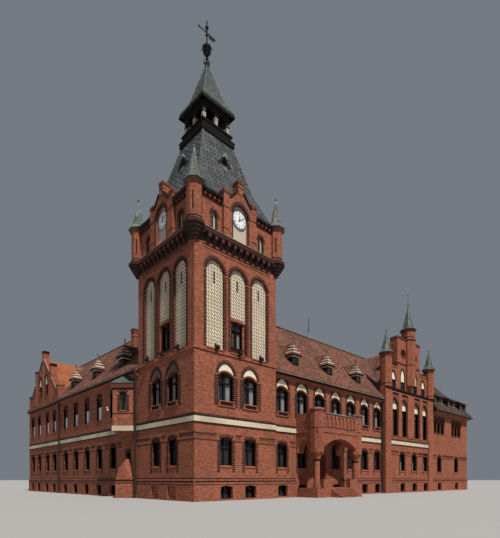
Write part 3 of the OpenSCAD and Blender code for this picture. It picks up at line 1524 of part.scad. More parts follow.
// A chimney on the street slope of the side wing's roof, with a stepped crown
module chimneys() color(brick) difference() {
  translate([side_ridge_x - chimney_in, side_y + chimney_y, 0]) union() {
    top_z = eaves_z + roof_rise + roof_t + chimney_rise;
    translate([-chimney_w / 2, -chimney_w / 2, eaves_z]) cube([chimney_w, chimney_w, top_z - eaves_z]);
    for (i = [1, 3]) square_block(chimney_w / 2 + 12 * (4 - i), top_z - i * crown_ring_h, crown_ring_h);
  }
  side_prism(roof_outer(wing_depth, eaves_z, slope, eave_out));
  side_hollow();
}

// A downpipe in front of a wall, with the brackets that hold it
module downpipe(u, top) translate([u, -pipe_out, 0]) {
  translate([0, 0, 120]) cylinder(h = top - 120, r = pipe_r, $fn = 16);
  for (z = [900, 2400, 3900]) translate([-20, 0, z]) cube([40, pipe_out, 30]);
}

module downpipes() color(iron) {
  on_side(side_x, side_y) downpipe(80, eaves_z - eave_box_drop);
  on_side(side_x, side_gable_near) downpipe(-320, eaves_z - eave_box_drop);
  on_front(pavilion_x, main_y) downpipe(-70, eaves_z - eave_box_drop);
}

basement_floor();
ground_floor();
first_floor();
attic_floor();
tower_floors();
tower_base();
tower_shaft();
niche_panels();
corbel_table();
clock_stage();
clock_gables();
corner_turrets();
turret_spires();
clock_dials();
minute_hand_front();
hour_hand_front();
minute_hand_side();
hour_hand_side();
tower_roof();
tower_dormers();
lantern_base();
lantern_posts();
lantern_arches();
lantern_spire();
spire_finial();
weather_vane();
main_front_wall();
side_front_wall();
courtyard_walls();
side_end_wall();
side_gable();
main_roof();
side_roof();
side_gable_roof();
wing_dormers();
pavilion_wall();
pavilion_gable();
pavilion_turrets();
pavilion_spires();
pavilion_roof();
annex_walls();
annex_roof();
annex_dormers();
oriel();
oriel_roof();
portal();
balcony();
light_band();
window_heads();
window_glass();
courtyard_glass();
eaves_boxes();
chimneys();
downpipes();
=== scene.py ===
"""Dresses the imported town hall: brickwork, roofs, windows, clocks and ironwork, with camera and light."""

from __future__ import annotations

import json
import logging
import math
from dataclasses import dataclass, field, replace
from enum import Enum
from typing import Callable, Iterable, Optional, Sequence

import bmesh
import bpy
from mathutils import Matrix, Vector


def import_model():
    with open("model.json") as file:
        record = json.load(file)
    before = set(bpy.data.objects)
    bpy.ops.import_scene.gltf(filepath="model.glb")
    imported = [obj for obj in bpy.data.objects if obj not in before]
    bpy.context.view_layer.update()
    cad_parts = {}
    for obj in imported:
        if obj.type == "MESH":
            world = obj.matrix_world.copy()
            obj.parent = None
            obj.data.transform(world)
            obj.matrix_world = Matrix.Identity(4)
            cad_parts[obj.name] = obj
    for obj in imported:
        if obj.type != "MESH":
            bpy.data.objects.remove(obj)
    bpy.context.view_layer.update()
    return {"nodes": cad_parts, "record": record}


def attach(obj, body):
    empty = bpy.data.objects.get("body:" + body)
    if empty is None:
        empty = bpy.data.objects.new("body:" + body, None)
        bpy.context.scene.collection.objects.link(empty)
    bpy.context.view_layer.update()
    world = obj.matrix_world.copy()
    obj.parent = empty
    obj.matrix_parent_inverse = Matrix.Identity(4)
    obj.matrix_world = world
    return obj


log = logging.getLogger("town_hall")

Colour = tuple[float, float, float]
Point2 = tuple[float, float]
Point3 = tuple[float, float, float]
Profile = tuple[Point2, ...]
Band = tuple[float, Point2, Point2]
Socket = bpy.types.NodeSocket
Feed = dict[object, object]

FULL_TURN = 2 * math.pi
SIDES = (-1, 1)
CORNERS = ((-1, -1), (1, -1), (1, 1), (-1, 1))
# A face whose normal rises past this counts as flat.
FLAT_NORMAL = 0.95


class Axis(Enum):
    """What a block is turned about: the way along its wall, out of it or up."""

    ALONG = "X"
    OUT = "Y"
    UP = "Z"


@dataclass
class Nodes:
    """A short way to place shader nodes in one tree.

    Args:
        tree: The node tree that gets the nodes.
    """

    tree: bpy.types.NodeTree

    def add(self, kind: str, inputs: Optional[Feed] = None, **values: object) -> bpy.types.Node:
        """Makes a node.

        Args:
            kind: The node's Blender type.
            inputs: What its inputs get, by name or number: sockets, numbers or colours.
            **values: Attributes of the node.

        Returns:
            The node.
        """
        node = self.tree.nodes.new(kind)
        for name, value in values.items():
            setattr(node, name, value)
        self.feed(node, inputs or {})
        return node

    def link(self, source: Socket, target: Socket) -> None:
        """Joins two sockets."""
        self.tree.links.new(source, target)

    def feed(self, node: bpy.types.Node, inputs: Feed) -> None:
        """Fills a node's inputs with values or with other sockets' outputs.

        Args:
            node: The node.
            inputs: What its inputs get, by name or number.
        """
        for key, value in inputs.items():
            if isinstance(value, Socket):
                self.link(value, node.inputs[key])
            else:
                node.inputs[key].default_value = value

    def math(self, operation: str, first: object, second: object = 0.0) -> Socket:
        """Works out one step of arithmetic."""
        return self.add("ShaderNodeMath", {0: first, 1: second}, operation=operation).outputs[0]

    def mix(self, factor: object, first: object, second: object) -> Socket:
        """Mixes two colours, by how much of the second is wanted."""
        return self.add("ShaderNodeMix", {0: factor, 6: first, 7: second}, data_type="RGBA").outputs[2]

    def pick(self, second: Socket, low: Socket, high: Socket) -> Socket:
        """Picks the first of two numbers at 0, and the second at 1."""
        return self.add("ShaderNodeMix", {0: second, 2: low, 3: high}, data_type="FLOAT").outputs[0]

    def steps(self, value: object, low: float, high: float) -> Socket:
        """Maps low to high onto 0 to 1, smoothly."""
        limits = {"Value": value, "From Min": low, "From Max": high}
        return self.add("ShaderNodeMapRange", limits, interpolation_type="SMOOTHSTEP").outputs[0]

    def noise(self, vector: object, scale: float, detail: float, rough: float = 0.6) -> Socket:
        """Adds a noise of so many lumps a metre."""
        inputs = {"Vector": vector, "Scale": scale, "Detail": detail, "Roughness": rough}
        return self.add("ShaderNodeTexNoise", inputs).outputs[0]

    def place(self) -> Socket:
        """Gives the place on the object."""
        return self.add("ShaderNodeTexCoord").outputs["Object"]

    def parts(self, vector: Socket) -> Sequence[Socket]:
        """Gives the three parts of a vector."""
        return self.add("ShaderNodeSeparateXYZ", {0: vector}).outputs

    def surface_place(self) -> tuple[Socket, Socket]:
        """Finds how far along and how far up its own surface a point lies.

        Returns:
            The distance along and the distance up the slope.
        """
        coordinates = self.add("ShaderNodeTexCoord").outputs
        x, y, z = self.parts(coordinates["Object"])
        nx, ny, nz = self.parts(coordinates["Normal"])
        steep = self.math("SUBTRACT", 1.0, self.math("MULTIPLY", nz, nz))
        level = self.math("SQRT", self.math("MAXIMUM", steep, 0.0001))
        across = self.math("SUBTRACT", self.math("MULTIPLY", y, nx), self.math("MULTIPLY", x, ny))
        along = self.math("DIVIDE", across, level)
        rise = self.math("DIVIDE", z, level)
        flat = self.math("GREATER_THAN", self.math("ABSOLUTE", nz), FLAT_NORMAL)
        return self.pick(flat, along, x), self.pick(flat, rise, y)


def new_group(name: str, inputs: dict[str, float], outputs: Sequence[str]) -> tuple[Nodes, dict, dict]:
    """Starts a shader node group whose inputs and outputs are numbers.

    Args:
        name: The group's name.
        inputs: Its inputs, with their default values.
        outputs: Its outputs.

    Returns:
        The group's nodes, its input sockets and its output sockets.
    """
    tree = bpy.data.node_groups.new(name, "ShaderNodeTree")
    for key, value in inputs.items():
        socket = tree.interface.new_socket(name=key, in_out="INPUT", socket_type="NodeSocketFloat")
        socket.default_value = value
    for key in outputs:
        tree.interface.new_socket(name=key, in_out="OUTPUT", socket_type="NodeSocketFloat")
    nodes = Nodes(tree)
    start = nodes.add("NodeGroupInput")
    end = nodes.add("NodeGroupOutput")
    return nodes, {key: start.outputs[key] for key in inputs}, {key: end.inputs[key] for key in outputs}


def courses_group() -> bpy.types.NodeTree:
    """Rows of bricks, slates or tiles with their own shades, and the joints between them.

    Returns:
        The node group.
    """
    nodes, given, wanted = new_group(
        "courses",
        {"Length": 0.13, "Height": 0.0385, "Joint": 0.005, "Lap": 0.0, "Turn": 0.0},
        ("Shade", "Joint Mask", "Relief"),
    )
    along, rise = nodes.surface_place()
    place = nodes.add("ShaderNodeCombineXYZ", {0: along, 1: rise}).outputs[0]
    turned = nodes.add(
        "ShaderNodeVectorRotate", {"Vector": place, "Angle": given["Turn"]}, rotation_type="Z_AXIS",
    ).outputs[0]
    brick = nodes.add("ShaderNodeTexBrick", {
        "Vector": turned, "Color1": (0.0, 0.0, 0.0, 1.0), "Color2": (1.0, 1.0, 1.0, 1.0),
        "Mortar": (0.5, 0.5, 0.5, 1.0), "Scale": 1.0, "Mortar Smooth": 0.3, "Brick Width": given["Length"],
        "Row Height": given["Height"], "Mortar Size": given["Joint"],
    }, offset=0.5, offset_frequency=2)
    nodes.link(brick.outputs["Color"], wanted["Shade"])
    nodes.link(brick.outputs["Fac"], wanted["Joint Mask"])
    row = nodes.math("FRACT", nodes.math("DIVIDE", nodes.parts(turned)[1], given["Height"]))
    lap = nodes.math("MULTIPLY", nodes.math("SUBTRACT", 1.0, row), given["Lap"])
    sunk = nodes.math("MULTIPLY", brick.outputs["Fac"], 0.5)
    nodes.link(nodes.math("SUBTRACT", lap, sunk), wanted["Relief"])
    return nodes.tree


def weather_group() -> bpy.types.NodeTree:
    """Broad stains, streaks that run down, and fine grain.

    Returns:
        The node group.
    """
    masks = ("Stain Mask", "Streak Mask", "Mottle Mask", "Grain")
    nodes, given, wanted = new_group("weather", {"Stain": 0.5}, masks)
    place = nodes.place()
    stains = nodes.steps(nodes.noise(place, 0.9, 5.0), 0.42, 0.68)
    nodes.link(nodes.math("MULTIPLY", stains, given["Stain"]), wanted["Stain Mask"])
    drawn = nodes.add("ShaderNodeMapping", {"Vector": place, "Scale": (5.0, 5.0, 0.35)}).outputs[0]
    streaks = nodes.steps(nodes.noise(drawn, 1.0, 4.0), 0.5, 0.75)
    nodes.link(nodes.math("MULTIPLY", streaks, given["Stain"]), wanted["Streak Mask"])
    nodes.link(nodes.noise(place, 60.0, 3.0, 0.7), wanted["Grain"])
    nodes.link(nodes.steps(nodes.noise(place, 13.0, 2.0, 0.7), 0.36, 0.64), wanted["Mottle Mask"])
    return nodes.tree


@dataclass(frozen=True)
class Finish:
    """A plain finish with stains and grain.

    Args:
        name: The material's name.
        colour, dark: Its main colour and that of its stains; for window glass the second is a paler blue of
            painted sky reflection.
        rough, metal: Its roughness, and how metallic it is.
        stain: How strong the stains are.
        bump: The depth of its grain.
        sheen: How strongly it mirrors; 0.5 is common glass.
    """

    name: str
    colour: Colour
    dark: Colour
    rough: float = 0.7
    metal: float = 0.0
    stain: float = 0.5
    bump: float = 0.001
    sheen: float = 0.12

    def start(self) -> tuple[bpy.types.Material, Nodes, bpy.types.Node, bpy.types.Node]:
        """Makes the material with its shader and its weather group.

        Returns:
            The material, its nodes, its shader and its weather node.
        """
        material = bpy.data.materials.new(self.name)
        material.use_nodes = True
        nodes = Nodes(material.node_tree)
        shader = material.node_tree.nodes["Principled BSDF"]
        nodes.feed(shader, {
            "Roughness": self.rough, "Metallic": self.metal, "Specular IOR Level": self.sheen,
        })
        weather = nodes.add("ShaderNodeGroup", node_tree=shared_group("weather"))
        nodes.feed(weather, {"Stain": self.stain})
        return material, nodes, shader, weather

    def material(self) -> bpy.types.Material:
        """Gives the finish's material, and builds it the first time."""
        return bpy.data.materials.get(self.name) or self.build()

    def raise_relief(self, nodes: Nodes, shader: bpy.types.Node, height: Socket, depth: float) -> None:
        """Feeds a height from 0 to 1 to the shader's normal, with the depth in metres."""
        bump = nodes.add("ShaderNodeBump", {"Distance": depth, "Strength": 0.8, "Height": height})
        nodes.link(bump.outputs[0], shader.inputs["Normal"])

    def build(self) -> bpy.types.Material:
        """Makes the material.

        Returns:
            The material.
        """
        material, nodes, shader, weather = self.start()
        colour = nodes.mix(weather.outputs["Stain Mask"], (*self.colour, 1.0), (*self.dark, 1.0))
        nodes.link(colour, shader.inputs["Base Color"])
        self.raise_relief(nodes, shader, weather.outputs["Grain"], self.bump)
        return material


@dataclass(frozen=True)
class CoursedFinish(Finish):
    """A finish of bricks, slates or tiles in rows.

    Args:
        light, joint: The colours of the palest piece and of the joints.
        length, height, gap: The length of a piece, the height of a row and the width of a joint.
        lap: How far a row laps over the next, from 0 to 1.
        depth: The depth of the relief.
        mottle: How much of its shade comes in patches instead of piece by piece, from 0 to 1.
        turn: How far the rows are turned, in radians.
        only_below: The z over which it is plain and dark, or 0.
        darkened_below, under_colour: The z under which it takes another, darker colour, or 0, and that
            colour.
    """

    light: Colour = (0.5, 0.3, 0.2)
    joint: Colour = (0.4, 0.35, 0.3)
    length: float = 0.13
    height: float = 0.0385
    gap: float = 0.005
    lap: float = 0.0
    depth: float = 0.003
    mottle: float = 0.55
    turn: float = 0.0
    only_below: float = 0.0
    darkened_below: float = 0.0
    under_colour: Colour = (0.1, 0.05, 0.04)

    def below(self, nodes: Nodes, level: float) -> Socket:
        """Gives 1 under a level and 0 over it."""
        rise = nodes.parts(nodes.place())[2]
        return nodes.math("SUBTRACT", 1.0, nodes.steps(rise, level - 0.02, level + 0.02))

    def build(self) -> bpy.types.Material:
        """Makes the material.

        Returns:
            The material.
        """
        material, nodes, shader, weather = self.start()
        rows = nodes.add("ShaderNodeGroup", node_tree=shared_group("courses"))
        nodes.feed(rows, {
            "Length": self.length, "Height": self.height, "Joint": self.gap, "Lap": self.lap,
            "Turn": self.turn,
        })
        mottle = nodes.math("MULTIPLY", weather.outputs["Mottle Mask"], self.mottle)
        shade = nodes.math("ADD", nodes.math("MULTIPLY", rows.outputs["Shade"], 1.0 - self.mottle), mottle)
        colour = nodes.mix(shade, (*self.colour, 1.0), (*self.light, 1.0))
        colour = nodes.mix(weather.outputs["Stain Mask"], colour, (*self.dark, 1.0))
        streaked = nodes.math("MULTIPLY", weather.outputs["Streak Mask"], 0.5)
        colour = nodes.mix(streaked, colour, (*self.dark, 1.0))
        joint = rows.outputs["Joint Mask"]
        if self.only_below:
            below = self.below(nodes, self.only_below)
            joint = nodes.math("MULTIPLY", joint, below)
            colour = nodes.mix(below, (*self.dark, 1.0), colour)
        colour = nodes.mix(joint, colour, (*self.joint, 1.0))
        # Darker below a level: on the dormers and on the turrets' bowls this is painted shade.
        if self.darkened_below:
            colour = nodes.mix(self.below(nodes, self.darkened_below), colour, (*self.under_colour, 1.0))
        nodes.link(colour, shader.inputs["Base Color"])
        self.raise_relief(nodes, shader, rows.outputs["Relief"], self.depth)
        return material


@dataclass(frozen=True)
class Glazing(Finish):
    """Window glass in front of a dark room; its stain colour gives patches of painted sky reflection."""

    def build(self) -> bpy.types.Material:
        """Makes the material.

        Returns:
            The material.
        """
        material, nodes, shader, weather = self.start()
        colour = nodes.mix(weather.outputs["Stain Mask"], (*self.colour, 1.0), (*self.dark, 1.0))
        nodes.link(colour, shader.inputs["Base Color"])
        nodes.feed(shader, {"IOR": 1.5, "Alpha": 0.3, "Coat Weight": 0.5, "Coat Roughness": 0.03})
        return material


GROUPS: dict[str, Callable[[], bpy.types.NodeTree]] = {"courses": courses_group, "weather": weather_group}


def shared_group(name: str) -> bpy.types.NodeTree:
    """Finds a node group, and builds it the first time."""
    return bpy.data.node_groups.get(name) or GROUPS[name]()


BRICK = CoursedFinish(
    "brickwork", (0.145, 0.036, 0.02), (0.1, 0.032, 0.022), rough=0.85, stain=0.3,
    light=(0.47, 0.148, 0.08), joint=(0.17, 0.085, 0.06), gap=0.006, mottle=0.4,
)
# Dark brick darkened further with painted shade, for the deep shadows of the corbel table; it also edges the
# porch's steps.
SHADED_DARK_BRICK = CoursedFinish(
    "shaded_dark_brickwork", (0.034, 0.018, 0.014), (0.022, 0.015, 0.013), rough=0.85, stain=0.5,
    light=(0.085, 0.034, 0.024), joint=(0.045, 0.03, 0.026),
)
# Darker under 9.3, on the turrets' bowls at the corbel table: dark brick with painted shade.
TURRET_BRICK = replace(BRICK, name="turret_brickwork", darkened_below=9.3, under_colour=(0.05, 0.026, 0.02))
# Dark glazed brick; the same dark also paints the shadow under the first-floor sills.
DARK_BRICK_AND_SHADE = Finish("glazed_brick_and_painted_shade", (0.014, 0.009, 0.008), (0.03, 0.019, 0.016), rough=0.6, stain=0.5)
RED_BRICK = Finish("red_brick", (0.24, 0.062, 0.033), (0.13, 0.04, 0.025), rough=0.8, stain=0.4)
# A darker red: red brick with painted shade, for the blocks and dentils on the corbel table.
SHADED_RED_BRICK = Finish("shaded_red_brick", (0.1, 0.035, 0.024), (0.05, 0.022, 0.017), rough=0.85, stain=0.5)
SILL_BRICK = Finish("sill_brick", (0.3, 0.105, 0.065), (0.16, 0.07, 0.05), rough=0.75, stain=0.5)
SLATES = CoursedFinish(
    "slates", (0.036, 0.04, 0.043), (0.022, 0.027, 0.026), rough=0.55, sheen=0.3,
    light=(0.13, 0.138, 0.143), joint=(0.006, 0.007, 0.008), length=0.22, height=0.16, gap=0.015, lap=1.0,
    depth=0.012, mottle=0.3, turn=0.7,
)
HELM_SLATES = CoursedFinish(
    "green_slates", (0.06, 0.074, 0.066), (0.045, 0.052, 0.044), rough=0.6, sheen=0.3,
    light=(0.26, 0.282, 0.262), joint=(0.02, 0.025, 0.02), length=0.12, height=0.09, gap=0.009, lap=1.0,
    depth=0.009, mottle=0.3, turn=0.6,
)
DIAPER_SLATES = replace(
    HELM_SLATES, name="diaper_slates", colour=(0.026, 0.03, 0.032), light=(0.21, 0.195, 0.19), length=0.11,
    height=0.11, turn=0.785,
)
SPIRE_SLATES = replace(
    HELM_SLATES, name="spire_slates", colour=(0.026, 0.033, 0.034), light=(0.125, 0.142, 0.142),
)
ZINC = CoursedFinish(
    "zinc_sheet", (0.075, 0.085, 0.078), (0.05, 0.055, 0.05), rough=0.6, stain=0.5,
    light=(0.12, 0.13, 0.122), joint=(0.035, 0.038, 0.036), length=0.2, height=4.0, gap=0.012,
    darkened_below=4.585, under_colour=(0.11, 0.036, 0.024),
)
CLAY_TILES = CoursedFinish(
    "clay_tiles", (0.07, 0.034, 0.027), (0.07, 0.046, 0.038), rough=0.8, stain=0.45,
    light=(0.37, 0.158, 0.102), joint=(0.016, 0.009, 0.008), length=0.11, height=0.12, gap=0.012, lap=1.0,
    depth=0.018, mottle=0.3,
)
CAP_TILES = replace(CLAY_TILES, name="cap_tiles", colour=(0.09, 0.028, 0.02), light=(0.29, 0.095, 0.06))
# Darker under the caps' foot at 6.14: painted shade under the dormer caps.
DORMER_TILES = replace(CLAY_TILES, name="dormer_tiles", darkened_below=6.14, under_colour=(0.032, 0.026, 0.022))
ORANGE_TILES = CoursedFinish(
    "orange_tiles", (0.27, 0.08, 0.038), (0.12, 0.045, 0.03), rough=0.8, stain=0.35,
    light=(0.52, 0.18, 0.085), joint=(0.07, 0.03, 0.02), length=0.09, height=0.1, gap=0.008, lap=1.0,
    depth=0.014, mottle=0.4,
)
ANNEX_TILES = CoursedFinish(
    "annex_tiles", (0.045, 0.032, 0.027), (0.03, 0.025, 0.022), rough=0.8, stain=0.5,
    light=(0.145, 0.09, 0.07), joint=(0.02, 0.014, 0.013), length=0.09, height=0.1, gap=0.008, lap=1.0,
    depth=0.014, mottle=0.4,
)
ANNEX_DORMER_TILES = replace(
    ANNEX_TILES, name="annex_dormer_tiles", darkened_below=6.1, under_colour=(0.03, 0.022, 0.018),
)
LATTICE = CoursedFinish(
    "niche_lattice", (0.57, 0.495, 0.38), (0.45, 0.4, 0.325), rough=0.9, stain=0.3,
    light=(0.82, 0.74, 0.59), joint=(0.22, 0.17, 0.115), length=0.176, height=0.088, gap=0.022,
    depth=0.003, mottle=0.5, turn=0.785, only_below=8.8,
)
PLASTER = Finish("cream_plaster", (0.7, 0.62, 0.48), (0.42, 0.37, 0.29), rough=0.9, stain=0.35)
BAND = Finish("light_band", (0.56, 0.49, 0.37), (0.28, 0.24, 0.185), rough=0.9, stain=0.6)
TIMBER = Finish("dark_timber", (0.016, 0.014, 0.012), (0.011, 0.01, 0.009), rough=0.7, stain=0.6, sheen=0.08)
GREY_TIMBER = Finish("weathered_timber", (0.36, 0.32, 0.27), (0.12, 0.1, 0.08), rough=0.8, stain=0.7)
IRON = Finish("black_iron", (0.012, 0.012, 0.013), (0.03, 0.021, 0.015), rough=0.55, metal=0.3, stain=0.4)
LEAD = Finish("lead_sheet", (0.33, 0.355, 0.345), (0.16, 0.175, 0.165), rough=0.55, metal=0.2, stain=0.8)
OLD_LEAD = Finish("old_lead", (0.12, 0.13, 0.13), (0.07, 0.075, 0.075), rough=0.6, stain=0.6)
VERDIGRIS = Finish("green_copper", (0.22, 0.35, 0.29), (0.1, 0.15, 0.125), rough=0.6, metal=0.2, stain=0.6)
OLD_COPPER = Finish("old_copper", (0.1, 0.155, 0.125), (0.05, 0.08, 0.065), rough=0.6, stain=0.6)
# Dark plaster: painted shade on the tower's side heads, and the arch's dark band with painted shade on the
# pavilion's lancet heads.
DARK_SHADED_PLASTER = Finish("dark_shaded_plaster", (0.13, 0.108, 0.088), (0.06, 0.048, 0.04), rough=0.9, stain=0.5)
DARK_PAINT = Finish(
    "dark_paint", (0.012, 0.011, 0.01), (0.022, 0.019, 0.016), rough=0.6, stain=0.4, sheen=0.08,
)
WEATHERED_PAINT = Finish("weathered_paint", (0.3, 0.25, 0.215), (0.14, 0.11, 0.095), rough=0.7, stain=0.5)
# A white sheet of painted sky reflection, laid on the lower panes of the side wing's first-floor windows.
SKY_REFLECTION_WHITE = Finish("painted_sky_reflection", (0.72, 0.73, 0.74), (0.45, 0.45, 0.45), rough=0.5, bump=0.0002)
PIPE = Finish("weathered_pipe", (0.028, 0.024, 0.022), (0.016, 0.013, 0.012), rough=0.5, stain=0.6)
CREAM_PAINT = Finish("cream_paint", (0.66, 0.6, 0.49), (0.44, 0.39, 0.31), rough=0.5, stain=0.4, bump=0.0004)
LINEN = Finish("linen", (0.8, 0.79, 0.76), (0.6, 0.59, 0.57), rough=0.95, stain=0.4, bump=0.0006)
DIAL = Finish(
    "dial_enamel", (0.8, 0.83, 0.86), (0.55, 0.55, 0.52), rough=0.35, stain=0.2, bump=0.0002, sheen=0.4,
)
OPAL = Finish(
    "opal_glass", (0.85, 0.85, 0.82), (0.7, 0.7, 0.66), rough=0.2, stain=0.2, bump=0.0002, sheen=0.5,
)
CONCRETE = Finish("floor_slab", (0.42, 0.41, 0.39), (0.28, 0.27, 0.26), rough=0.9, stain=0.5)
# Its stain colour is a paler blue: patches of painted sky reflection on the dark glass.
GLASS = Glazing("window_glass", (0.045, 0.055, 0.066), (0.07, 0.085, 0.1), rough=0.06, stain=1.0, sheen=0.7)

SLOT_FINISHES: dict[str, Finish] = {
    "brick": BRICK, "plaster": PLASTER, "light_stone": BAND, "slate": SLATES, "roof_tile": CLAY_TILES,
    "orange_tile": ORANGE_TILES, "timber": TIMBER, "iron": IRON, "dial": DIAL, "glass": GLASS,
    "concrete": CONCRETE,
}
NODE_FINISHES: dict[str, Finish] = {
    "annex_roof": ANNEX_TILES, "annex_dormers": ANNEX_DORMER_TILES, "corbel_table": SHADED_DARK_BRICK,
    "downpipes": PIPE, "wing_dormers": DORMER_TILES, "corner_turrets": TURRET_BRICK,
    "turret_spires": HELM_SLATES, "pavilion_spires": DIAPER_SLATES, "lantern_spire": SPIRE_SLATES,
    "lantern_posts": GREY_TIMBER, "oriel_roof": ZINC, "niche_panels": LATTICE,
}


@dataclass
class Studio:
    """The camera, the light and the floor."""

    eye: Point3 = (-9.895, -13.475, 0.7475)
    forward: Point3 = (0.6973, 0.7168, 0.0)
    lens_mm: float = 27.99
    shift: Point2 = (-0.028, 0.391)
    sun_way: Point3 = (0.125, 0.6, -0.78)
    sun_power: float = 4.4
    sun_width: float = 3.0
    sun_colour: Colour = (1.0, 0.95, 0.88)
    sky_colour: Colour = (0.62, 0.7, 0.8)
    sky_power: float = 0.28
    floor_colour: Colour = (0.38, 0.38, 0.375)
    floor_half: float = 400.0

    def aim(self, item: bpy.types.Object, way: Point3) -> None:
        """Turns a camera or a light to look a given way, and adds it to the scene."""
        item.rotation_mode = "QUATERNION"
        item.rotation_quaternion = Vector(way).to_track_quat("-Z", "Y")
        bpy.context.collection.objects.link(item)

    def camera(self) -> None:
        """Makes the camera at the photograph's place."""
        data = bpy.data.cameras.new("camera")
        data.sensor_width = 36.0
        data.lens = self.lens_mm
        data.shift_x, data.shift_y = self.shift
        data.clip_end = 2000.0
        item = bpy.data.objects.new("camera", data)
        item.location = self.eye
        self.aim(item, self.forward)
        bpy.context.scene.camera = item

    def light(self) -> None:
        """Adds the soft sun and the even surroundings."""
        data = bpy.data.lights.new("key", "SUN")
        data.energy = self.sun_power
        data.angle = math.radians(self.sun_width)
        data.color = self.sun_colour
        self.aim(bpy.data.objects.new("key", data), self.sun_way)
        world = bpy.data.worlds.new("surroundings")
        world.use_nodes = True
        back = world.node_tree.nodes["Background"]
        back.inputs["Color"].default_value = (*self.sky_colour, 1.0)
        back.inputs["Strength"].default_value = self.sky_power
        bpy.context.scene.world = world
        bpy.context.scene.view_settings.view_transform = "Standard"

    def floor(self) -> None:
        """Lays the pale floor."""
        mesh = bpy.data.meshes.new("floor")
        work = bmesh.new()
        bmesh.ops.create_grid(work, x_segments=1, y_segments=1, size=self.floor_half)
        bmesh.ops.translate(work, verts=work.verts, vec=(0.0, 0.0, -0.001))
        work.to_mesh(mesh)
        work.free()
        item = bpy.data.objects.new("floor", mesh)
        material = bpy.data.materials.new("floor")
        material.use_nodes = True
        shader = material.node_tree.nodes["Principled BSDF"]
        shader.inputs["Base Color"].default_value = (*self.floor_colour, 1.0)
        shader.inputs["Roughness"].default_value = 0.9
        mesh.materials.append(material)
        bpy.context.collection.objects.link(item)

    def build(self) -> None:
        """Makes the camera, the light and the floor."""
        self.camera()
        self.light()
        self.floor()
        log.info("studio ready")


@dataclass(frozen=True)
class Wall:
    """One face of the building: u runs along it, w outwards and z up.

    Args:
        start: Where u is 0, in the plan.
        along, out: The way u runs, and the way out of the wall.
        length: The length of the run.
    """

    start: Point2
    along: Point2
    out: Point2
    length: float = 0.0

    def outset(self, by: float) -> Wall:
        """Gives the same wall with its face further out."""
        return replace(self, start=(self.start[0] + self.out[0] * by, self.start[1] + self.out[1] * by))

    def matrix(self) -> Matrix:
        """Gives the matrix from u, w and z to the model's frame."""
        return Matrix((
            (self.along[0], self.out[0], 0.0, self.start[0]),
            (self.along[1], self.out[1], 0.0, self.start[1]),
            (0.0, 0.0, 1.0, 0.0),
            (0.0, 0.0, 0.0, 1.0),
        ))


def around(centre: Point2, radius: float, angle: float) -> Point2:
    """Gives the point of a circle at an angle."""
    return (centre[0] + radius * math.cos(angle), centre[1] + radius * math.sin(angle))


def shifted(points: Sequence[Point2], by: float) -> list[Point2]:
    """Moves an outline along its wall."""
    return [(u + by, z) for u, z in points]


def rectangle(middle: float, half: float, foot: float, top: float) -> Profile:
    """Gives the corners of an upright rectangle."""
    return ((middle - half, foot), (middle + half, foot), (middle + half, top), (middle - half, top))


def evenly(count: int, pitch: float) -> list[float]:
    """Spreads places evenly about 0."""
    return [(index - (count - 1) / 2) * pitch for index in range(count)]


def arc(centre: Point2, radius: float, start: float, end: float, count: int) -> list[Point2]:
    """Lists points along a circle, rounded so that the ends of a whole circle meet."""
    points = [around(centre, radius, start + (end - start) * index / count) for index in range(count + 1)]
    return [(round(first, 6), round(second, 6)) for first, second in points]


@dataclass(frozen=True)
class Opening:
    """A window, a door or a recess, with its middle at u = 0.

    Args:
        width, sill: Its width and the z of its foot.
        spring, crown: Where its arch begins, and its top.
        pointed: Whether the arch is pointed; otherwise it is a flat curve.
        glass: The depth of its glass behind the wall's face.
        head: The rise of the flat arch under a plaster head, or 0.
        transom: The height of its transom, or 0.
        lights: The number of lights side by side.
    """

    width: float
    sill: float
    spring: float
    crown: float
    pointed: bool = False
    glass: float = 0.19
    head: float = 0.0
    transom: float = 0.0
    lights: int = 2

    def offset(self) -> float:
        """Gives how far the centres of a pointed arch's two circles lie from the middle."""
        rise = self.crown - self.spring
        return (rise * rise - self.width * self.width / 4) / self.width

    def arcs(self, grow: float = 0.0) -> list[tuple[Point2, float, float, float]]:
        """Lists the circles of the arch.

        Args:
            grow: How far outside the opening they run.

        Returns:
            The centre, the radius and the first and last angle of each.
        """
        half = self.width / 2
        if self.pointed:
            offset = self.offset()
            radius = offset + half + grow
            apex = math.acos(offset / radius)
            return [
                ((-offset, self.spring), radius, 0.0, apex),
                ((offset, self.spring), radius, math.pi - apex, math.pi),
            ]
        rise = self.crown - self.spring
        radius = (half * half + rise * rise) / (2 * rise)
        lean = math.asin(half / radius)
        return [((0.0, self.crown - radius), radius + grow, math.pi / 2 - lean, math.pi / 2 + lean)]

    def arch(self, grow: float = 0.0, count: int = 7) -> list[Point2]:
        """Gives the arch's curve from right to left.

        Args:
            grow: How far outside the opening it runs.
            count: Steps on each circle.

        Returns:
            The points.
        """
        points: list[Point2] = []
        for centre, radius, start, end in self.arcs(grow):
            points += arc(centre, radius, start, end, count)[1 if points else 0:]
        return points

    def outline(self) -> list[Point2]:
        """Gives the whole opening's outline, counterclockwise from its foot."""
        half = self.width / 2
        return [(-half, self.sill), (half, self.sill)] + self.arch()

    def light(self) -> Opening:
        """Gives the part of the opening under its plaster head."""
        if not self.head:
            return self
        return replace(self, crown=self.spring + self.head, pointed=False, head=0.0)


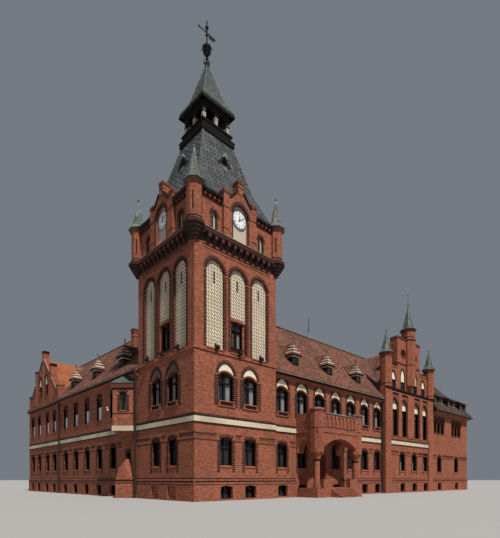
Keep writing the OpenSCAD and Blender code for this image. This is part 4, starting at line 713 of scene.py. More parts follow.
@dataclass
class Piece:
    """A piece in the making, built on a wall's face.

    Args:
        name, finishes: Its name and its finishes; the first is the main one.
        slot: The record's slot for the piece; not used.
        wall: The face that it stands on.
        work: The mesh in the making.
    """

    name: str
    finishes: tuple[Finish, ...]
    slot: str
    wall: Wall = Wall((0.0, 0.0), (1.0, 0.0), (0.0, 1.0))
    work: bmesh.types.BMesh = field(default_factory=bmesh.new)

    def on(self, wall: Wall) -> None:
        """Goes on with the piece on another wall."""
        self.wall = wall

    def paint(self, verts: Iterable[bmesh.types.BMVert], finish: int, smooth: bool = False) -> None:
        """Gives the faces round some points a finish."""
        for face in {face for vert in verts for face in vert.link_faces}:
            face.material_index = finish
            face.smooth = smooth

    def block(self, low: Point3, high: Point3, finish: int = 0) -> None:
        """Adds a block between two corners.

        Args:
            low: The lowest corner.
            high: The highest corner.
            finish: Its finish.
        """
        size = [top - foot for foot, top in zip(low, high)]
        middle = [(top + foot) / 2 for foot, top in zip(low, high)]
        self.turned(middle, size, 0.0, finish)

    def turned(self, middle: Sequence[float], size: Sequence[float], angle: float, finish: int = 0,
               axis: Axis = Axis.OUT) -> None:
        """Adds a block that is turned about its middle.

        Args:
            middle: Its middle.
            size: Its size.
            angle: The turn, in radians.
            finish: Its finish.
            axis: What it is turned about.
        """
        matrix = self.wall.matrix() @ Matrix.Translation(middle) @ Matrix.Rotation(angle, 4, axis.value)
        made = bmesh.ops.create_cube(self.work, size=1.0, matrix=matrix @ Matrix.Diagonal((*size, 1.0)))
        if finish:
            self.paint(made["verts"], finish)

    def slab(self, middle: float, half: float, depths: Point2, levels: Point2, finish: int = 0) -> None:
        """Adds a block that is centred on a place along the wall."""
        low, high = (middle - half, depths[0], levels[0]), (middle + half, depths[1], levels[1])
        self.block(low, high, finish)

    def bands(self, middle: float, rows: Iterable[Band], finish: int = 0) -> None:
        """Adds several blocks that are centred on one place."""
        for half, depths, levels in rows:
            self.slab(middle, half, depths, levels, finish)

    def draw_out(self, faces: list[bmesh.types.BMFace], way: Point3) -> list[bmesh.types.BMVert]:
        """Draws faces out into a solid.

        Args:
            faces: The faces.
            way: How far and which way, in the piece's own directions.

        Returns:
            The new points.
        """
        made = bmesh.ops.extrude_face_region(self.work, geom=faces)["geom"]
        verts = [item for item in made if isinstance(item, bmesh.types.BMVert)]
        bmesh.ops.translate(self.work, verts=verts, vec=self.wall.matrix().to_3x3() @ Vector(way))
        return verts

    def sheet(self, loops: Sequence[Sequence[Point3]], way: Point3, finish: int = 0) -> None:
        """Thickens flat faces into one solid.

        Args:
            loops: The corners of each face.
            way: How far and which way they are drawn out.
            finish: Its finish.
        """
        place = self.wall.matrix()
        points: dict[Point3, bmesh.types.BMVert] = {}
        faces = []
        for loop in loops:
            for point in loop:
                if point not in points:
                    points[point] = self.work.verts.new(place @ Vector(point))
            faces.append(self.work.faces.new([points[point] for point in loop]))
        drawn = self.draw_out(faces, way)
        if finish:
            self.paint([*points.values(), *drawn], finish)

    def plate(self, outline: Sequence[Point2], back: float, front: float, finish: int = 0) -> None:
        """Adds a plate of an upright outline."""
        self.sheet([[(u, back, z) for u, z in outline]], (0.0, front - back, 0.0), finish)

    def hoop(self, inner: Sequence[Point2], outer: Sequence[Point2], back: float, front: float,
             finish: int = 0) -> None:
        """Adds a strip between two curves of u and z with the same number of points."""
        loops = [[(u, back, z) for u, z in corners] for corners in zip(inner, outer, outer[1:], inner[1:])]
        self.sheet(loops, (0.0, front - back, 0.0), finish)

    def ring(self, centre: Point2, radii: Point2, depths: Point2, count: int, finish: int = 0) -> None:
        """Adds a flat ring on the wall."""
        inner, outer = [arc(centre, radius, 0.0, FULL_TURN, count) for radius in radii]
        self.hoop(inner, outer, *depths, finish)

    def rim(self, outline: Sequence[Point2], border: float, back: float, front: float,
            finish: int = 0) -> None:
        """Adds a frame inside an outline.

        Args:
            outline: Its outer corners as u and z.
            border: The frame's width.
            back: The w of its back.
            front: The w of its front.
            finish: Its finish.
        """
        place = self.wall.matrix()
        face = self.work.faces.new([self.work.verts.new(place @ Vector((u, back, z))) for u, z in outline])
        made = bmesh.ops.inset_individual(self.work, faces=[face], thickness=border, use_even_offset=True)
        bmesh.ops.delete(self.work, geom=[face], context="FACES_ONLY")
        verts = {vert for part in made["faces"] for vert in part.verts}
        drawn = self.draw_out(made["faces"], (0.0, front - back, 0.0))
        if finish:
            self.paint([*verts, *drawn], finish)

    def moulding(self, profile: Sequence[Point2], start: float, end: float, finish: int = 0) -> None:
        """Runs a profile along the wall."""
        self.sheet([[(start, w, z) for w, z in profile]], (end - start, 0.0, 0.0), finish)

    def rod(self, start: Point3, end: Point3, radius: float, finish: int = 0, sides: int = 8,
            tip: Optional[float] = None) -> None:
        """Adds a round bar, or a cone where its tip has its own radius.

        Args:
            start: The middle of one end.
            end: The middle of the other.
            radius: Its radius.
            finish: Its finish.
            sides: The number of its sides.
            tip: The radius at its end.
        """
        place = self.wall.matrix()
        first, last = place @ Vector(start), place @ Vector(end)
        turn = (last - first).to_track_quat("Z", "Y").to_matrix().to_4x4()
        made = bmesh.ops.create_cone(
            self.work, cap_ends=True, segments=sides, radius1=radius, radius2=radius if tip is None else tip,
            depth=(last - first).length, matrix=Matrix.Translation((first + last) / 2) @ turn)
        self.paint(made["verts"], finish, sides > 8)

    def roll(self, points: Sequence[Point3], radius: float, finish: int = 0, sides: int = 8) -> None:
        """Adds a run of round bars."""
        for start, end in zip(points, points[1:]):
            self.rod(start, end, radius, finish, sides)

    def drum(self, middle: Point2, across: float, foot: float, top: float, finish: int = 0, sides: int = 8,
             across_top: Optional[float] = None) -> None:
        """Adds an upright block with four or eight sides, flat towards the walls.

        Args:
            middle: Its middle in u and w.
            across: Its width across the flats.
            foot: The z of its foot.
            top: The z of its top.
            finish: Its finish.
            sides: The number of its sides.
            across_top: Its width at the top.
        """
        wide = 1 / (2 * math.cos(math.pi / sides))
        matrix = self.wall.matrix() @ Matrix.Translation((*middle, (foot + top) / 2))
        made = bmesh.ops.create_cone(
            self.work, cap_ends=True, segments=sides, radius1=across * wide,
            radius2=(across if across_top is None else across_top) * wide, depth=top - foot,
            matrix=matrix @ Matrix.Rotation(math.pi / sides, 4, "Z"))
        if finish:
            self.paint(made["verts"], finish)

    def ball(self, middle: Point3, radius: float, finish: int = 0) -> None:
        """Adds a ball."""
        made = bmesh.ops.create_uvsphere(
            self.work, u_segments=12, v_segments=8, radius=radius,
            matrix=self.wall.matrix() @ Matrix.Translation(middle))
        self.paint(made["verts"], finish, True)

    def build(self) -> None:
        """Turns the work into an object that rides on the building, unless it stayed empty."""
        if not self.work.faces:
            self.work.free()
            return
        bmesh.ops.recalc_face_normals(self.work, faces=self.work.faces)
        mesh = bpy.data.meshes.new(self.name)
        self.work.to_mesh(mesh)
        self.work.free()
        for finish in self.finishes:
            mesh.materials.append(finish.material())
        item = bpy.data.objects.new(self.name, mesh)
        bpy.context.collection.objects.link(item)
        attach(item, "root")
        log.info("%s: %d faces", self.name, len(mesh.polygons))


TOWER_HALF = 1.925
TOWER_FRONT = Wall((0.0, -TOWER_HALF), (1.0, 0.0), (0.0, -1.0), 3.85)
TOWER_SIDE = Wall((-TOWER_HALF, 0.0), (0.0, 1.0), (-1.0, 0.0), 3.85)
TOWER_BACK = Wall((0.0, TOWER_HALF), (1.0, 0.0), (0.0, 1.0), 3.85)
TOWER_YARD = Wall((TOWER_HALF, 0.0), (0.0, 1.0), (1.0, 0.0), 3.85)
MAIN_WALL = Wall((1.925, -1.725), (1.0, 0.0), (0.0, -1.0), 8.35)
SIDE_WALL = Wall((-1.925, 1.925), (0.0, 1.0), (-1.0, 0.0), 14.7)
PAVILION_WALL = Wall((10.275, -1.925), (1.0, 0.0), (0.0, -1.0), 5.75)
ANNEX_WALL = Wall((16.025, -1.825), (1.0, 0.0), (0.0, -1.0), 6.0)
BACK_WALL = Wall((3.875, 4.075), (1.0, 0.0), (0.0, 1.0), 12.15)
YARD_WALL = Wall((3.875, 4.075), (0.0, 1.0), (1.0, 0.0), 12.55)
SIDE_END_WALL = Wall((-1.925, 16.625), (1.0, 0.0), (0.0, 1.0), 5.8)
ANNEX_BACK_WALL = Wall((16.025, 4.075), (1.0, 0.0), (0.0, 1.0), 6.0)
ANNEX_END_WALL = Wall((22.025, -1.825), (0.0, 1.0), (1.0, 0.0), 5.9)
ORIEL_NEAR_WALL = Wall((-2.015, 2.15), (-0.7011, 0.7131), (-0.7131, -0.7011), 0.8415)
ORIEL_FAR_WALL = Wall((-2.605, 2.75), (0.7011, 0.7131), (-0.7131, 0.7011), 0.8415)
SPUR_NEAR_WALL = Wall((-1.925, 2.19), (-0.7071, 0.7071), (-0.7071, -0.7071), 0.79)
SPUR_FAR_WALL = Wall((-2.485, 2.75), (0.7071, 0.7071), (-0.7071, 0.7071), 0.79)
SIDE_GABLE_WALL = Wall((-1.925, 13.8), (0.0, 1.0), (-1.0, 0.0), 5.45)

UPPER = Opening(0.7, 3.52, 4.45, 4.84, pointed=True, head=0.14, transom=4.17)
GROUND = Opening(0.56, 1.215, 2.155, 2.215, transom=1.88)
SIDE_UPPER = Opening(0.56, 3.44, 4.5, 4.56, transom=4.18)
STORM_WINDOW = replace(SIDE_UPPER, glass=0.1)
CELLAR = Opening(0.56, 0.06, 0.47, 0.53)
LANCET = Opening(0.6, 3.15, 4.76, 5.24, pointed=True, transom=4.3)
ANNEX_LIGHT = Opening(0.46, 3.72, 4.43, 4.76, pointed=True, transom=4.32)
NEAR_LANCET = Opening(0.425, 5.825, 6.625, 7.0, pointed=True, glass=0.18, lights=1)
FAR_LANCET = Opening(0.425, 5.825, 6.375, 6.75, pointed=True, glass=0.18, lights=1)
GABLE_LIGHT = Opening(0.45, 5.7, 6.49, 6.9, pointed=True, transom=6.36)
NICHE = Opening(0.765, 5.255, 7.92, 8.33, pointed=True, glass=0.08)
NICHE_WINDOW = Opening(0.48, 5.5, 6.4, 6.46, transom=6.16)
SLIT = Opening(0.2, 9.325, 9.795, 9.995, pointed=True, glass=0.08)
CLOCK_RECESS = Opening(0.715, 9.275, 10.215, 10.6, pointed=True, glass=0.12)
ORIEL_WINDOW = Opening(0.28, 3.52, 4.175, 4.235, glass=0.06, transom=4.02)
SMALL_WINDOW = Opening(0.4, 1.215, 1.86, 1.92, transom=1.7)

PLINTH_TOP = 0.75
BAND_FOOT = 2.69
BAND_TOP = 2.89
PORTAL_MIDDLE = 4.959
PORTAL_HALF = 1.585


@dataclass(frozen=True)
class Row:
    """A row of like openings.

    Args:
        opening, places: The opening, and the u of each one's middle.
        jambs: The z at which its toothed jambs start, or 0 where it has none.
        reach, crest: How far the teeth run out from the opening, and those of the arch.
        sill: Whether it has a brick sill.
        curtain, drawn: How much of its height and its width the curtain covers, from 0 to 1.
        reflection_share: How much of the height under the transom carries white sheets of painted sky
            reflection, from 0 to 1.
        relief: How deep its frames are, against the usual.
        pitch, tooth: The height of two courses, by which the teeth step, and of a tooth.
        frame, lining, casement: The widths of a frame, of the dark lining round it and of a pale rim.
        post, rail: Half the width of the middle post and half the height of the transom.
        pleats: The number of folds across a curtain.
    """

    opening: Opening
    places: tuple[float, ...]
    jambs: float = 0.0
    reach: float = 0.15
    crest: float = 0.1
    sill: bool = True
    curtain: float = 0.0
    drawn: float = 0.5
    reflection_share: float = 0.0
    relief: float = 1.0
    pitch: float = 0.077
    tooth: float = 0.044
    frame: float = 0.04
    lining: float = 0.014
    post: float = 0.02
    rail: float = 0.024
    casement: float = 0.016
    pleats: int = 12

    def fit_frame(self, piece: Piece, place: float, sheet: float = 0.0) -> None:
        """Fits a frame with its bars and its pale casements into one opening.

        Args:
            piece: The piece they join.
            place: The u of its middle.
            sheet: The depth of the glass, where it isn't the opening's own.
        """
        light = self.opening.light()
        back = -(sheet or light.glass)
        half = light.width / 2 - self.frame
        deep = self.relief
        outline = shifted(light.outline(), place)
        piece.rim(outline, self.lining, back, min(back + 0.11, -0.012))
        piece.rim(outline, self.frame, back, back + 0.05 * deep)
        top = light.transom or light.spring
        post, rail = self.post, self.rail
        if light.lights == 2:
            crown = light.crown - 0.02
            piece.slab(place, post, (back, back + 0.055 * deep), (light.sill + 0.03, crown))
        if light.transom:
            piece.slab(place, half, (back, back + 0.062 * deep), (top - rail, top + rail))
        sides = ((-half, -post), (post, half)) if light.lights == 2 else ((-half, half),)
        foot = light.sill + self.frame
        for low, high in sides:
            corners = ((low, foot), (high, foot), (high, top - rail), (low, top - rail))
            piece.rim(shifted(corners, place), self.casement, back, back + 0.034 * deep, 1)

    def fit_curtain(self, piece: Piece, place: float) -> None:
        """Hangs a pleated pale curtain behind the glass.

        Args:
            piece: The piece it joins.
            place: The u of its middle.
        """
        light = self.opening.light()
        depth = -(light.glass + 0.03)
        foot = light.sill + 0.03
        top = foot + (light.crown - foot) * self.curtain
        step = (light.width - 0.06) / self.pleats
        drawn = self.drawn * self.pleats / 2
        for index in range(self.pleats):
            if drawn <= index < self.pleats - drawn:
                continue
            u = place - light.width / 2 + 0.03 + step * (index + 0.5)
            turn = 0.3 if index % 2 else -0.3
            piece.turned((u, depth, (foot + top) / 2), (step * 1.15, 0.004, top - foot), turn, 1, Axis.UP)

    def paint_reflection(self, piece: Piece, place: float) -> None:
        """Lays white sheets of painted sky reflection on the lower panes of one opening.

        Args:
            piece: The piece it joins.
            place: The u of its middle.
        """
        light = self.opening.light()
        foot = light.sill + 0.055
        top = foot + (light.transom - foot) * self.reflection_share
        edge = light.width / 2 - 0.035
        for low, high in ((-edge, -self.post), (self.post, edge)):
            corners = ((low, foot), (high, foot), (high, top), (low, top - 0.02))
            # A white sheet of painted sky reflection.
            piece.plate(shifted(corners, place), 0.006 - light.glass, 0.012 - light.glass)

    def lay_teeth(self, piece: Piece, place: float) -> None:
        """Lays the toothed jambs and the arch of one opening.

        Args:
            piece: The piece they join.
            place: The u of its middle.
        """
        opening = self.opening
        half = opening.width / 2
        tall = self.tooth
        inner = -max(opening.glass - 0.11, 0.0) or -opening.glass
        level = self.jambs
        while level < opening.spring - tall:
            for side in SIDES:
                edge = place + side * (half - 0.004)
                far = edge + side * self.reach
                piece.block((min(edge, far), inner, level), (max(edge, far), 0.008, level + tall))
            level += self.pitch
        inside = shifted(opening.arch(-0.003), place)
        piece.hoop(inside, shifted(opening.arch(0.026), place), -0.03, 0.012)
        for centre, radius, start, end in opening.arcs(0.026):
            count = max(3, round(radius * (end - start) / self.pitch))
            for index in range(count):
                angle = start + (end - start) * (index + 0.5) / count
                reach = radius + self.crest / 2
                u, z = around(centre, reach, angle)
                piece.turned((place + u, 0.0, z), (self.crest, 0.02, tall), -angle)

    def lay_soldiers(self, piece: Piece, place: float) -> None:
        """Lays the flat arch of upright bricks under a plaster head.

        Args:
            piece: The piece they join.
            place: The u of its middle.
        """
        light = self.opening.light()
        (centre, radius, start, end), = light.arcs(-0.03)
        piece.hoop(shifted(light.arch(-0.06), place), shifted(light.arch(0.0), place), -0.12, -0.018, 1)
        count = round(self.opening.width / 0.06)
        for index in range(count):
            angle = start + (end - start) * (index + 0.5) / count
            u, z = around(centre, radius, angle)
            piece.turned((place + u, -0.066, z), (0.056, 0.1, 0.02), -angle)

    def lay_sill(self, piece: Piece, place: float) -> None:
        """Lays a sloped sill, with the brackets and painted shadow under a first-floor window.

        Args:
            piece: The piece they join.
            place: The u of its middle.
        """
        opening = self.opening
        half, sill = opening.width / 2 + 0.05, opening.sill
        profile = ((-0.13, sill + 0.03), (0.033, sill - 0.008), (0.033, sill - 0.042), (0.0, sill - 0.042),
                   (0.0, sill + 0.001), (-0.13, sill + 0.001))
        piece.moulding(profile, place - half + 0.05, place + half - 0.05, 1)
        if opening.head:
            # The dark strip under the sill and the dark panel between the brackets are painted shadow.
            piece.slab(place, half, (0.0, 0.026), (sill - 0.062, sill - 0.042))
            piece.slab(place, half, (0.0, 0.008), (sill - 0.19, sill - 0.062))
            piece.slab(place, half, (0.0, 0.05), (sill - 0.205, sill - 0.175), 1)
            for side in SIDES:
                piece.slab(place + side * (half - 0.07), 0.05, (0.0, 0.045), (sill - 0.175, sill - 0.062), 2)


@dataclass
class Facade:
    """The joiner's and bricklayer's work on one wall.

    Args:
        name, wall: The wall's name, which starts the names of its pieces, and its face.
        rows: Its openings.
        sheet: The depth of the one glass sheet that closes an unseen wall's openings, or 0.
        spans: The stretches between which its courses run.
        frieze, band, courses: Whether it has a frieze, the light band and dark courses.
        frieze_foot, frieze_top: The z of the frieze's lines.
        dentil, dentil_pitch: The size of its small turned bricks, and how far apart they stand.
    """

    name: str
    wall: Wall
    rows: tuple[Row, ...]
    sheet: float = 0.0
    spans: tuple[Point2, ...] = ()
    frieze: bool = True
    band: bool = True
    courses: bool = True
    frieze_foot: float = 2.085
    frieze_top: float = 2.305
    dentil: Point3 = (0.034, 0.034, 0.055)
    dentil_pitch: float = 0.09

    def gaps(self, rows: Iterable[Row], margin: float) -> list[Point2]:
        """Lists the stretches of wall between the openings of some rows.

        Args:
            rows: The rows.
            margin: How far to stay from each opening.

        Returns:
            The stretches.
        """
        cuts = sorted((place - row.opening.width / 2 - margin, place + row.opening.width / 2 + margin)
                      for row in rows for place in row.places)
        found = []
        for start, end in self.spans or ((0.0, self.wall.length),):
            at = start
            for low, high in cuts:
                if low > at and high < end + margin * 2:
                    found.append((at, low))
                if start < high < end:
                    at = max(at, high)
            if at < end:
                found.append((at, end))
        return [(low, high) for low, high in found if high - low > 0.05]

    def lay_courses(self, piece: Piece) -> None:
        """Lays the dark courses over the plinth and along the band, and the frieze.

        Args:
            piece: The piece they join.
        """
        for start, end in self.spans or ((0.0, self.wall.length),):
            piece.block((start, 0.0, PLINTH_TOP + 0.005), (end, 0.01, PLINTH_TOP + 0.04))
            if self.sheet:
                continue
            piece.block((start, 0.0, PLINTH_TOP - 0.095), (end, 0.046, PLINTH_TOP - 0.045))
            piece.block((start, 0.0, PLINTH_TOP - 0.195), (end, 0.044, PLINTH_TOP - 0.175))
            if self.band:
                piece.block((start, 0.0, BAND_FOOT - 0.04), (end, 0.036, BAND_FOOT))
                piece.moulding(((0.0, BAND_TOP + 0.055), (0.03, BAND_TOP + 0.036), (0.034, BAND_TOP),
                                (0.0, BAND_TOP)), start, end)
                piece.block((start, 0.0, BAND_TOP + 0.075), (end, 0.008, BAND_TOP + 0.09))
        if not self.frieze:
            return
        for start, end in self.gaps([row for row in self.rows if row.opening.sill == GROUND.sill], 0.14):
            piece.block((start, 0.0, self.frieze_foot), (end, 0.01, self.frieze_foot + 0.02))
            piece.block((start, 0.0, self.frieze_top), (end, 0.014, self.frieze_top + 0.025))
            count = max(1, int((end - start) / self.dentil_pitch))
            step = (end - start) / count
            for index in range(count):
                u = start + step * (index + 0.5)
                piece.turned((u, 0.0, self.frieze_foot + 0.07), self.dentil, FULL_TURN / 8, 1, Axis.UP)
                if index:
                    middle = (u - step / 2, 0.0, self.frieze_top - 0.055)
                    piece.turned(middle, self.dentil, FULL_TURN / 8, 0, Axis.UP)

    def build(self) -> None:
        """Makes the wall's pieces."""
        frames, curtains_and_reflections, teeth, sills, courses = [
            Piece(f"{self.name}_{part}", finishes, slot, self.wall) for part, finishes, slot in (
                ("window_frames", (DARK_PAINT, CREAM_PAINT), "timber"),
                ("curtains_and_reflections", (SKY_REFLECTION_WHITE, LINEN), "plaster"),
                ("toothed_brickwork", (DARK_BRICK_AND_SHADE, RED_BRICK), "brick"),
                ("sills", (DARK_BRICK_AND_SHADE, SILL_BRICK, RED_BRICK), "brick"),
                ("dark_courses", (DARK_BRICK_AND_SHADE, RED_BRICK), "brick"),
            )
        ]
        for row in self.rows:
            for place in row.places:
                row.fit_frame(frames, place, self.sheet)
                if row.curtain:
                    row.fit_curtain(curtains_and_reflections, place)
                # White sheets of painted sky reflection go on the lower panes, in the same piece as the
                # curtains.
                if row.reflection_share:
                    row.paint_reflection(curtains_and_reflections, place)
                if row.jambs:
                    row.lay_teeth(teeth, place)
                if row.opening.head:
                    row.lay_soldiers(teeth, place)
                if row.sill:
                    row.lay_sill(sills, place)
        if self.courses:
            self.lay_courses(courses)
        for piece in (frames, curtains_and_reflections, teeth, sills, courses):
            piece.build()


MAIN_STEP = (8.35 - 0.6 - 0.448) / 6
MAIN_PLACES = tuple(0.6 + index * MAIN_STEP for index in range(7))
LOW_MAIN_PLACES = tuple(place for index, place in enumerate(MAIN_PLACES) if index != 2)
SIDE_PLACES = tuple(2.3 + index * 1.45 for index in range(5)) + (9.875, 11.125, 12.625, 13.875)
PAVILION_MIDDLE = 2.875
LANCET_PLACES = tuple(PAVILION_MIDDLE + offset for offset in (-1.8, -0.75, 0.75, 1.8))
PAVILION_PLACES = tuple(PAVILION_MIDDLE + 0.475 + index * 1.45 for index in (-1, 0, 1))
ANNEX_PLACES = (1.275, 4.05)
YARD_PLACES = tuple(1.0 + index * 1.5 for index in range(8))
SHEET_DEPTH = 0.3


def facades() -> list[Facade]:
    """Lists every wall with its openings.

    Returns:
        The facades.
    """
    pair = (-0.575, 0.575)
    tower = (Row(UPPER, pair, 3.33, 0.19, curtain=0.8), Row(GROUND, pair, 1.0, 0.13))
    edge = TOWER_HALF
    portal = PORTAL_MIDDLE - 1.925
    side_low = Row(GROUND, SIDE_PLACES, 1.0, 0.1)
    oriel = (Row(ORIEL_WINDOW, (ORIEL_NEAR_WALL.length / 2,), 3.46, 0.1),)
    annex_lights = tuple(place + step for place in ANNEX_PLACES for step in (-0.57, 0.0, 0.57))

    def unseen(name: str, wall: Wall, places: tuple[float, ...], spans: tuple[Point2, ...] = ()) -> Facade:
        """Gives a plain wall of three storeys."""
        storeys = ((SIDE_UPPER, 4.4, True), (GROUND, 2.1, True), (CELLAR, 0.0, False))
        rows = tuple(Row(opening, places, jambs, 0.1, sill=sill) for opening, jambs, sill in storeys)
        return Facade(name, wall, rows, SHEET_DEPTH, spans, False, False)

    return [
        Facade("tower_front", TOWER_FRONT, tower + (Row(CELLAR, pair, sill=False),),
               spans=((-edge - 0.01, edge - 0.01),)),
        Facade("tower_side", TOWER_SIDE, tower, spans=((-edge, edge),)),
        Facade("main_front", MAIN_WALL, (
            Row(UPPER, MAIN_PLACES, 3.33, 0.13, curtain=0.75), Row(GROUND, LOW_MAIN_PLACES, 1.0, 0.1),
            Row(CELLAR, LOW_MAIN_PLACES, sill=False)),
            spans=((0.0, portal - PORTAL_HALF - 0.03), (portal + PORTAL_HALF + 0.03, 8.35))),
        Facade("side_front", SIDE_WALL, (
            Row(STORM_WINDOW, SIDE_PLACES, 4.4, 0.1, reflection_share=0.86, relief=0.25), side_low,
            Row(SMALL_WINDOW, (0.865,), 1.0, 0.08), Row(CELLAR, SIDE_PLACES, sill=False)),
            spans=((0.0, 0.225), (1.425, 14.7))),
        Facade("pavilion_front", PAVILION_WALL, (
            Row(LANCET, LANCET_PLACES, 3.2, 0.1), Row(GROUND, PAVILION_PLACES, 1.0, 0.1, curtain=0.5),
            Row(CELLAR, PAVILION_PLACES, sill=False)), spans=((0.575, 5.175),)),
        Facade("annex_front", ANNEX_WALL, (
            Row(ANNEX_LIGHT, annex_lights, 4.35, 0.05), Row(GROUND, ANNEX_PLACES, 1.0, 0.1),
            Row(CELLAR, ANNEX_PLACES, sill=False)), band=False, spans=((0.01, 6.0),)),
        Facade("oriel_near", ORIEL_NEAR_WALL, oriel, courses=False),
        Facade("oriel_far", ORIEL_FAR_WALL, oriel, courses=False),
        Facade("side_gable", SIDE_GABLE_WALL, (Row(GABLE_LIGHT, (-0.55, 0.55), 5.66, 0.1),), courses=False),
        unseen("courtyard_back", BACK_WALL, YARD_PLACES[:7], ((0.05, 12.15),)),
        unseen("courtyard_side", YARD_WALL, YARD_PLACES, ((0.05, 12.55),)),
        unseen("side_end", SIDE_END_WALL, (1.3, 2.9, 4.5)),
        unseen("annex_back", ANNEX_BACK_WALL, ANNEX_PLACES),
        unseen("annex_end", ANNEX_END_WALL, (1.3, 2.95, 4.6)),
    ]


TOWER_FACES: dict[str, Wall] = {
    "front": TOWER_FRONT, "side": TOWER_SIDE, "back": TOWER_BACK, "yard": TOWER_YARD,
}
CLOCK_FACES: dict[str, Wall] = {"front": TOWER_FRONT, "side": replace(TOWER_SIDE, along=(0.0, -1.0))}


@dataclass
class TowerHead:
    """The brickwork, leadwork and vent of one side of the tower's head.

    Args:
        name, wall: The side's name and its face.
        niches, niche_sill: The u of its tall niches, and the profile of their sills in w and z.
        slits: The u of its slits.
        corbel_out: The w of the corbel table's face.
        dentils, dentil_pitch: The number of its dentils, and how far apart they stand.
        blocks, block_pitch: The same for the small panels between its blocks.
        bay_out, bay_edge: The w of the clock bay's face and the u of its edge.
        pier: The u of its piers.
        clear: The u where the corner turrets begin.
        gable_lean: The slope of the bay's gable.
        vent_foot, vent_top, vent_half, vent_face: The roof vent's levels, half its width and its w.
        roof_lean: How far the roof leans in.
    """

    name: str
    wall: Wall
    niches: tuple[float, ...] = (-1.05, 0.0, 1.05)
    niche_sill: Profile = ((-0.09, 5.3), (0.035, 5.262), (0.035, 5.235), (0.0, 5.235), (-0.09, 5.262))
    slits: tuple[float, ...] = (-1.11, 1.11)
    corbel_out: float = 0.17
    dentils: int = 44
    dentil_pitch: float = 0.075
    blocks: int = 11
    block_pitch: float = 0.28
    bay_out: float = 0.12
    pier: float = 0.65
    bay_edge: float = 0.79
    clear: float = 1.66
    gable_lean: float = math.radians(47.7)
    vent_foot: float = 12.56
    vent_top: float = 12.96
    vent_half: float = 0.2775
    vent_face: float = -0.82
    roof_lean: float = math.radians(16.3)

    def piece(self, name: str, finishes: tuple[Finish, ...], slot: str) -> Piece:
        """Starts a piece on this side."""
        return Piece(f"tower_{self.name}_{name}", finishes, slot, self.wall)

    def lay_niches(self) -> None:
        """Lays the toothed edges of the tall niches and dresses their windows."""
        teeth = self.piece("niche_brickwork", (DARK_BRICK_AND_SHADE,), "brick")
        frames = self.piece("niche_windows", (DARK_PAINT, CREAM_PAINT), "timber")
        fittings = self.piece("niche_fittings", (DARK_BRICK_AND_SHADE, SILL_BRICK, DARK_PAINT), "brick")
        niches = Row(NICHE, self.niches, 5.28, 0.115)
        window = Row(NICHE_WINDOW, (0.0,), curtain=0.6)
        window.fit_frame(frames, 0.0)
        window.fit_curtain(frames, 0.0)
        half = NICHE_WINDOW.width / 2
        fittings.slab(0.0, half + 0.08, (-0.085, -0.06), (6.462, 6.56), 1)
        fittings.slab(0.0, half + 0.05, (-0.12, -0.05), (5.455, 5.498))
        for place in self.niches:
            niches.lay_teeth(teeth, place)
            fittings.slab(place, 0.032, (-0.085, -0.076), (7.55, 7.95), 2)
            self.fit_floodlight(fittings, place)
            fittings.moulding(self.niche_sill, place - 0.38, place + 0.38, 1)
        for made in (teeth, frames, fittings):
            made.build()

    def fit_floodlight(self, piece: Piece, place: float) -> None:
        """Fits the small black lamp at a niche's foot.

        Args:
            piece: The piece it joins.
            place: The u of its middle.
        """
        piece.rod((place, -0.02, 5.21), (place, 0.11, 5.25), 0.02, 2)
        piece.turned((place, 0.11, 5.3), (0.17, 0.09, 0.11), 0.5, 2, Axis.ALONG)
        piece.rod((place - 0.07, 0.08, 5.33), (place - 0.07, 0.13, 5.42), 0.022, 2)

    def lay_stage(self) -> None:
        """Lays the dark lines, the copings and the recesses of the clock stage."""
        work = self.piece("stage_brickwork", (DARK_BRICK_AND_SHADE, RED_BRICK, SHADED_RED_BRICK), "brick")
        for place in self.slits:
            Row(SLIT, self.slits, 9.34, 0.06).lay_teeth(work, place)
            work.slab(place, 0.026, (-0.085, -0.074), (9.44, 9.86))
        self.lay_dentils(work)
        work.slab(0.0, 1.62, (0.0, 0.012), (8.7, 8.735))
        work.slab(0.0, 1.62, (0.0, 0.006), (8.6, 8.62))
        middle, half = (self.clear + self.bay_edge) / 2, (self.clear - self.bay_edge) / 2
        for side in SIDES:
            work.slab(side * middle, half, (0.0, 0.012), (10.3, 10.33))
            work.slab(side * middle, half, (0.0, 0.11), (10.455, 10.499))
            for index in range(9):
                u = side * (self.bay_edge + 0.05 + index * 0.097)
                work.slab(u, 0.027, (0.0, 0.085), (10.36, 10.455), index % 2)
        work.on(self.wall.outset(self.bay_out))
        Row(CLOCK_RECESS, (0.0,), 9.34, 0.055).lay_teeth(work, 0.0)
        for side in SIDES:
            lean = side * self.gable_lean
            work.turned((side * 0.325, -0.13, 10.905), (0.6, 0.33, 0.034), lean)
            work.turned((side * 0.28, 0.004, 10.86), (0.5, 0.012, 0.018), lean)
            self.lay_cap(work, side * self.pier, 10.9)
            for level in (9.52, 10.28):
                work.slab(side * self.pier, 0.125, (-0.1, 0.01), (level, level + 0.022))
        self.lay_cap(work, 0.0, 11.5)
        for level in (10.7, 10.98, 11.24):
            work.slab(0.0, 0.126, (-0.13, 0.008), (level, level + 0.02))
        work.build()

    def lay_dentils(self, piece: Piece) -> None:
        """Lays the small blocks, in a red darkened with painted shade, and the dark lines on the corbel
        table.

        Args:
            piece: The piece they join.
        """
        face = self.corbel_out
        for out, levels in ((0.008, (9.185, 9.222)), (0.006, (9.05, 9.08))):
            piece.slab(0.0, self.clear, (face, face + out), levels)
        for u in evenly(self.dentils, self.dentil_pitch):
            piece.slab(u, 0.02, (face, face + 0.02), (9.1, 9.17), 2)
        for u in evenly(self.blocks, self.block_pitch):
            piece.slab(u, 0.05, (face, face + 0.006), (8.93, 9.035), 2)

    def lay_cap(self, piece: Piece, place: float, top: float) -> None:
        """Lays the dark courses under a pier's cap."""
        for index in range(3):
            level = top - 0.042 - 0.045 * index
            piece.slab(place, 0.132, (-0.31, 0.012), (level, level + 0.018))

